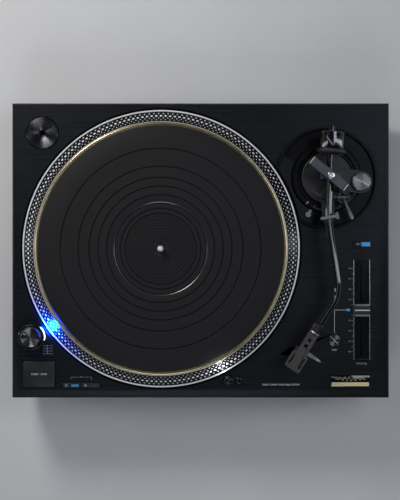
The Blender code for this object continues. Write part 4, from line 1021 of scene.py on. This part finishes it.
def finger_lift():
    """A bright blade that leaves the shell's side, narrows and curls up at its tip."""
    node = "finger_lift"
    seat = Vector(JOINTS["collar_turn"]["pos_m"])
    spine = ((0.0, 0.0, 0.0024), (0.0050, 0.0002, 0.0022), (0.0100, 0.0009, 0.0018), (0.0140, 0.0026, 0.0014),
             (0.0163, 0.0046, 0.0011), (0.0172, 0.0060, 0.0008))
    thickness = 0.0009
    neck_half, root_ahead = 0.0061, 0.0235

    def build(bm):
        rings = []
        for out, up, half in spine:
            corners = ((out, -half, up), (out, half, up), (out, half, up + thickness),
                       (out, -half, up + thickness))
            rings.append([bm.verts.new((y, -x, z)) for x, y, z in corners])
        skin(bm, rings)
    root = seat + heading(SHELL_HEADING) * root_ahead + heading(SHELL_HEADING + 90.0) * (neck_half + 0.0003)
    place = Matrix.Translation(root + Vector((0.0, 0.0, -0.0010))) @ Matrix.Rotation(
        radians(SHELL_HEADING + 180.0), 4, "Z")
    piece("finger_lift_blade", build, DULL_STEEL, node, (node,), place, angle=60, bevel=0.0002)


# -------- inside and back
def inside():
    """The motor and the boards keep their CAD shapes."""
    for node, material in (("motor_base", SILVER), ("rotor_upper", SILVER), ("rotor_lower", SILVER),
                           ("stator_coils", COPPER), ("control_board", BOARD), ("power_board", BOARD)):
        keep_cad(node, material, 0.0)


def back():
    """The mains inlet, the recessed panel with its phono jacks, and the earth screw."""
    keep_cad("ac_inlet", MOULDED, 0.0003)
    keep_cad("terminal_panel", SATIN_PAINT, 0.0002)
    for side in ("left", "right"):
        keep_cad(f"phono_jack_{side}", BARE_BRASS, 0.0001)
    keep_cad("ground_terminal", BARE_BRASS, 0.0002)


# -------- stage
def area_light(name, place, target, size, power, colour, depth=None):
    """A soft light aimed at a point. A depth makes it a long strip that runs from front to back."""
    data = bpy.data.lights.new(name, "AREA")
    data.shape = "RECTANGLE"
    data.size = size
    data.size_y = depth or size
    data.energy = power
    data.color = colour
    lamp = bpy.data.objects.new(name, data)
    lamp.location = place
    aim = Vector(target) - Vector(place)
    lamp.rotation_euler = aim.to_track_quat("-Z", "Y").to_euler()
    show(lamp)


def stage():
    """A plain pale floor, a soft studio sky that is dim overhead, and soft lights."""
    half = 3.0
    mesh = bpy.data.meshes.new("floor")
    mesh.from_pydata([(-half, -half, 0), (half, -half, 0), (half, half, 0), (-half, half, 0)], [],
                     [(0, 1, 2, 3)])
    mesh.materials.append(surface("pale studio floor", (0.66, 0.66, 0.665), (0.72, 0.72, 0.725), (0.75, 0.85),
                                  grain=6.0, bump=0.02, bump_depth=0.0005))
    floor = bpy.data.objects.new("floor", mesh)
    floor.location.z = -0.0002
    show(floor)

    world = bpy.data.worlds.new("studio")
    bpy.context.scene.world = world
    world.use_nodes = True
    tree = world.node_tree
    background = tree.nodes["Background"]
    coordinates = add_node(tree, "TexCoord").outputs["Generated"]
    parts = add_node(tree, "SeparateXYZ")
    link(tree, coordinates, parts.inputs[0])
    height = mapped(tree, parts.outputs[2], 0.0, 0.50, 1.0, 0.0)
    mixed(tree, (0.040, 0.044, 0.052), (0.36, 0.37, 0.39), height, background.inputs["Color"])
    background.inputs["Strength"].default_value = 0.7

    aim, platter_side = (0.0, 0.0, 0.1), (0.0, 0.05, 0.16)
    area_light("key", (-0.48, 0.62, 0.78), aim, 0.30, 4.9, (1.0, 0.98, 0.96))
    area_light("left strip", (-1.00, 0.05, 0.32), platter_side, 0.10, 1.9, (0.95, 0.97, 1.0), depth=2.0)
    area_light("left high strip", (-0.34, 0.10, 1.20), aim, 0.03, 0.45, (0.95, 0.97, 1.0), depth=1.4)
    area_light("right fill", (0.62, 0.22, 1.35), aim, 0.50, 2.6, (0.84, 0.91, 1.0))
    area_light("front fill", (-0.10, -0.95, 1.25), aim, 0.60, 3.6, (0.86, 0.92, 1.0))
    area_light("right strip", (1.05, 0.05, 0.34), platter_side, 0.10, 2.4, (0.90, 0.94, 1.0), depth=2.0)


def lamps():
    """The blue light that the strobe throws on the dots, and the white light of the target lamp."""
    lens_height, ahead = 0.1150, 0.02
    strobe_spot = middle("strobe_lens")
    facing = facing_platter(strobe_spot)
    start = Vector((strobe_spot.x, strobe_spot.y, lens_height)) + facing * 0.0055
    area_light("strobe glow", start, start + facing * ahead + Vector((0.0, 0.0, -0.004)), 0.010, 0.10,
               (0.0, 0.18, 1.0))
    area_light("strobe spill", start - Vector((0.0, 0.0, 0.003)),
               start + facing * ahead - Vector((0.0, 0.0, 0.008)), 0.007, 0.40, (0.0, 0.0, 1.0))
    lamp = middle("target_lamp")
    facing = facing_platter(lamp)
    start = Vector((lamp.x, lamp.y, DECK_TOP + 0.0080)) + facing * 0.0062
    area_light("target glow", start + Vector((0.0, 0.0, 0.010)),
               start + facing * ahead + Vector((0.0, 0.0, 0.014)), 0.003, 0.020, (0.95, 0.96, 1.0))


def camera():
    """Straight above the deck, at the distance that gives the raised parts their sideways shift."""
    distance, seen_width = 1.305, 0.4804
    data = bpy.data.cameras.new("camera")
    data.sensor_fit = "HORIZONTAL"
    data.angle = 2 * math.atan(seen_width / 2 / distance)
    made = bpy.data.objects.new("camera", data)
    made.location = (-0.0007, 0.0006, DECK_TOP + distance)
    show(made)
    bpy.context.scene.camera = made


plinth()
platter()
platter_top()
adaptor()
strobe()
buttons()
target_lamp()
pitch_control()
deck_print()
arm_base()
gimbal()
arm_tube()
behind_arm()
headshell()
inside()
back()
stage()
lamps()
camera()
bpy.context.scene.view_settings.view_transform = "Standard"
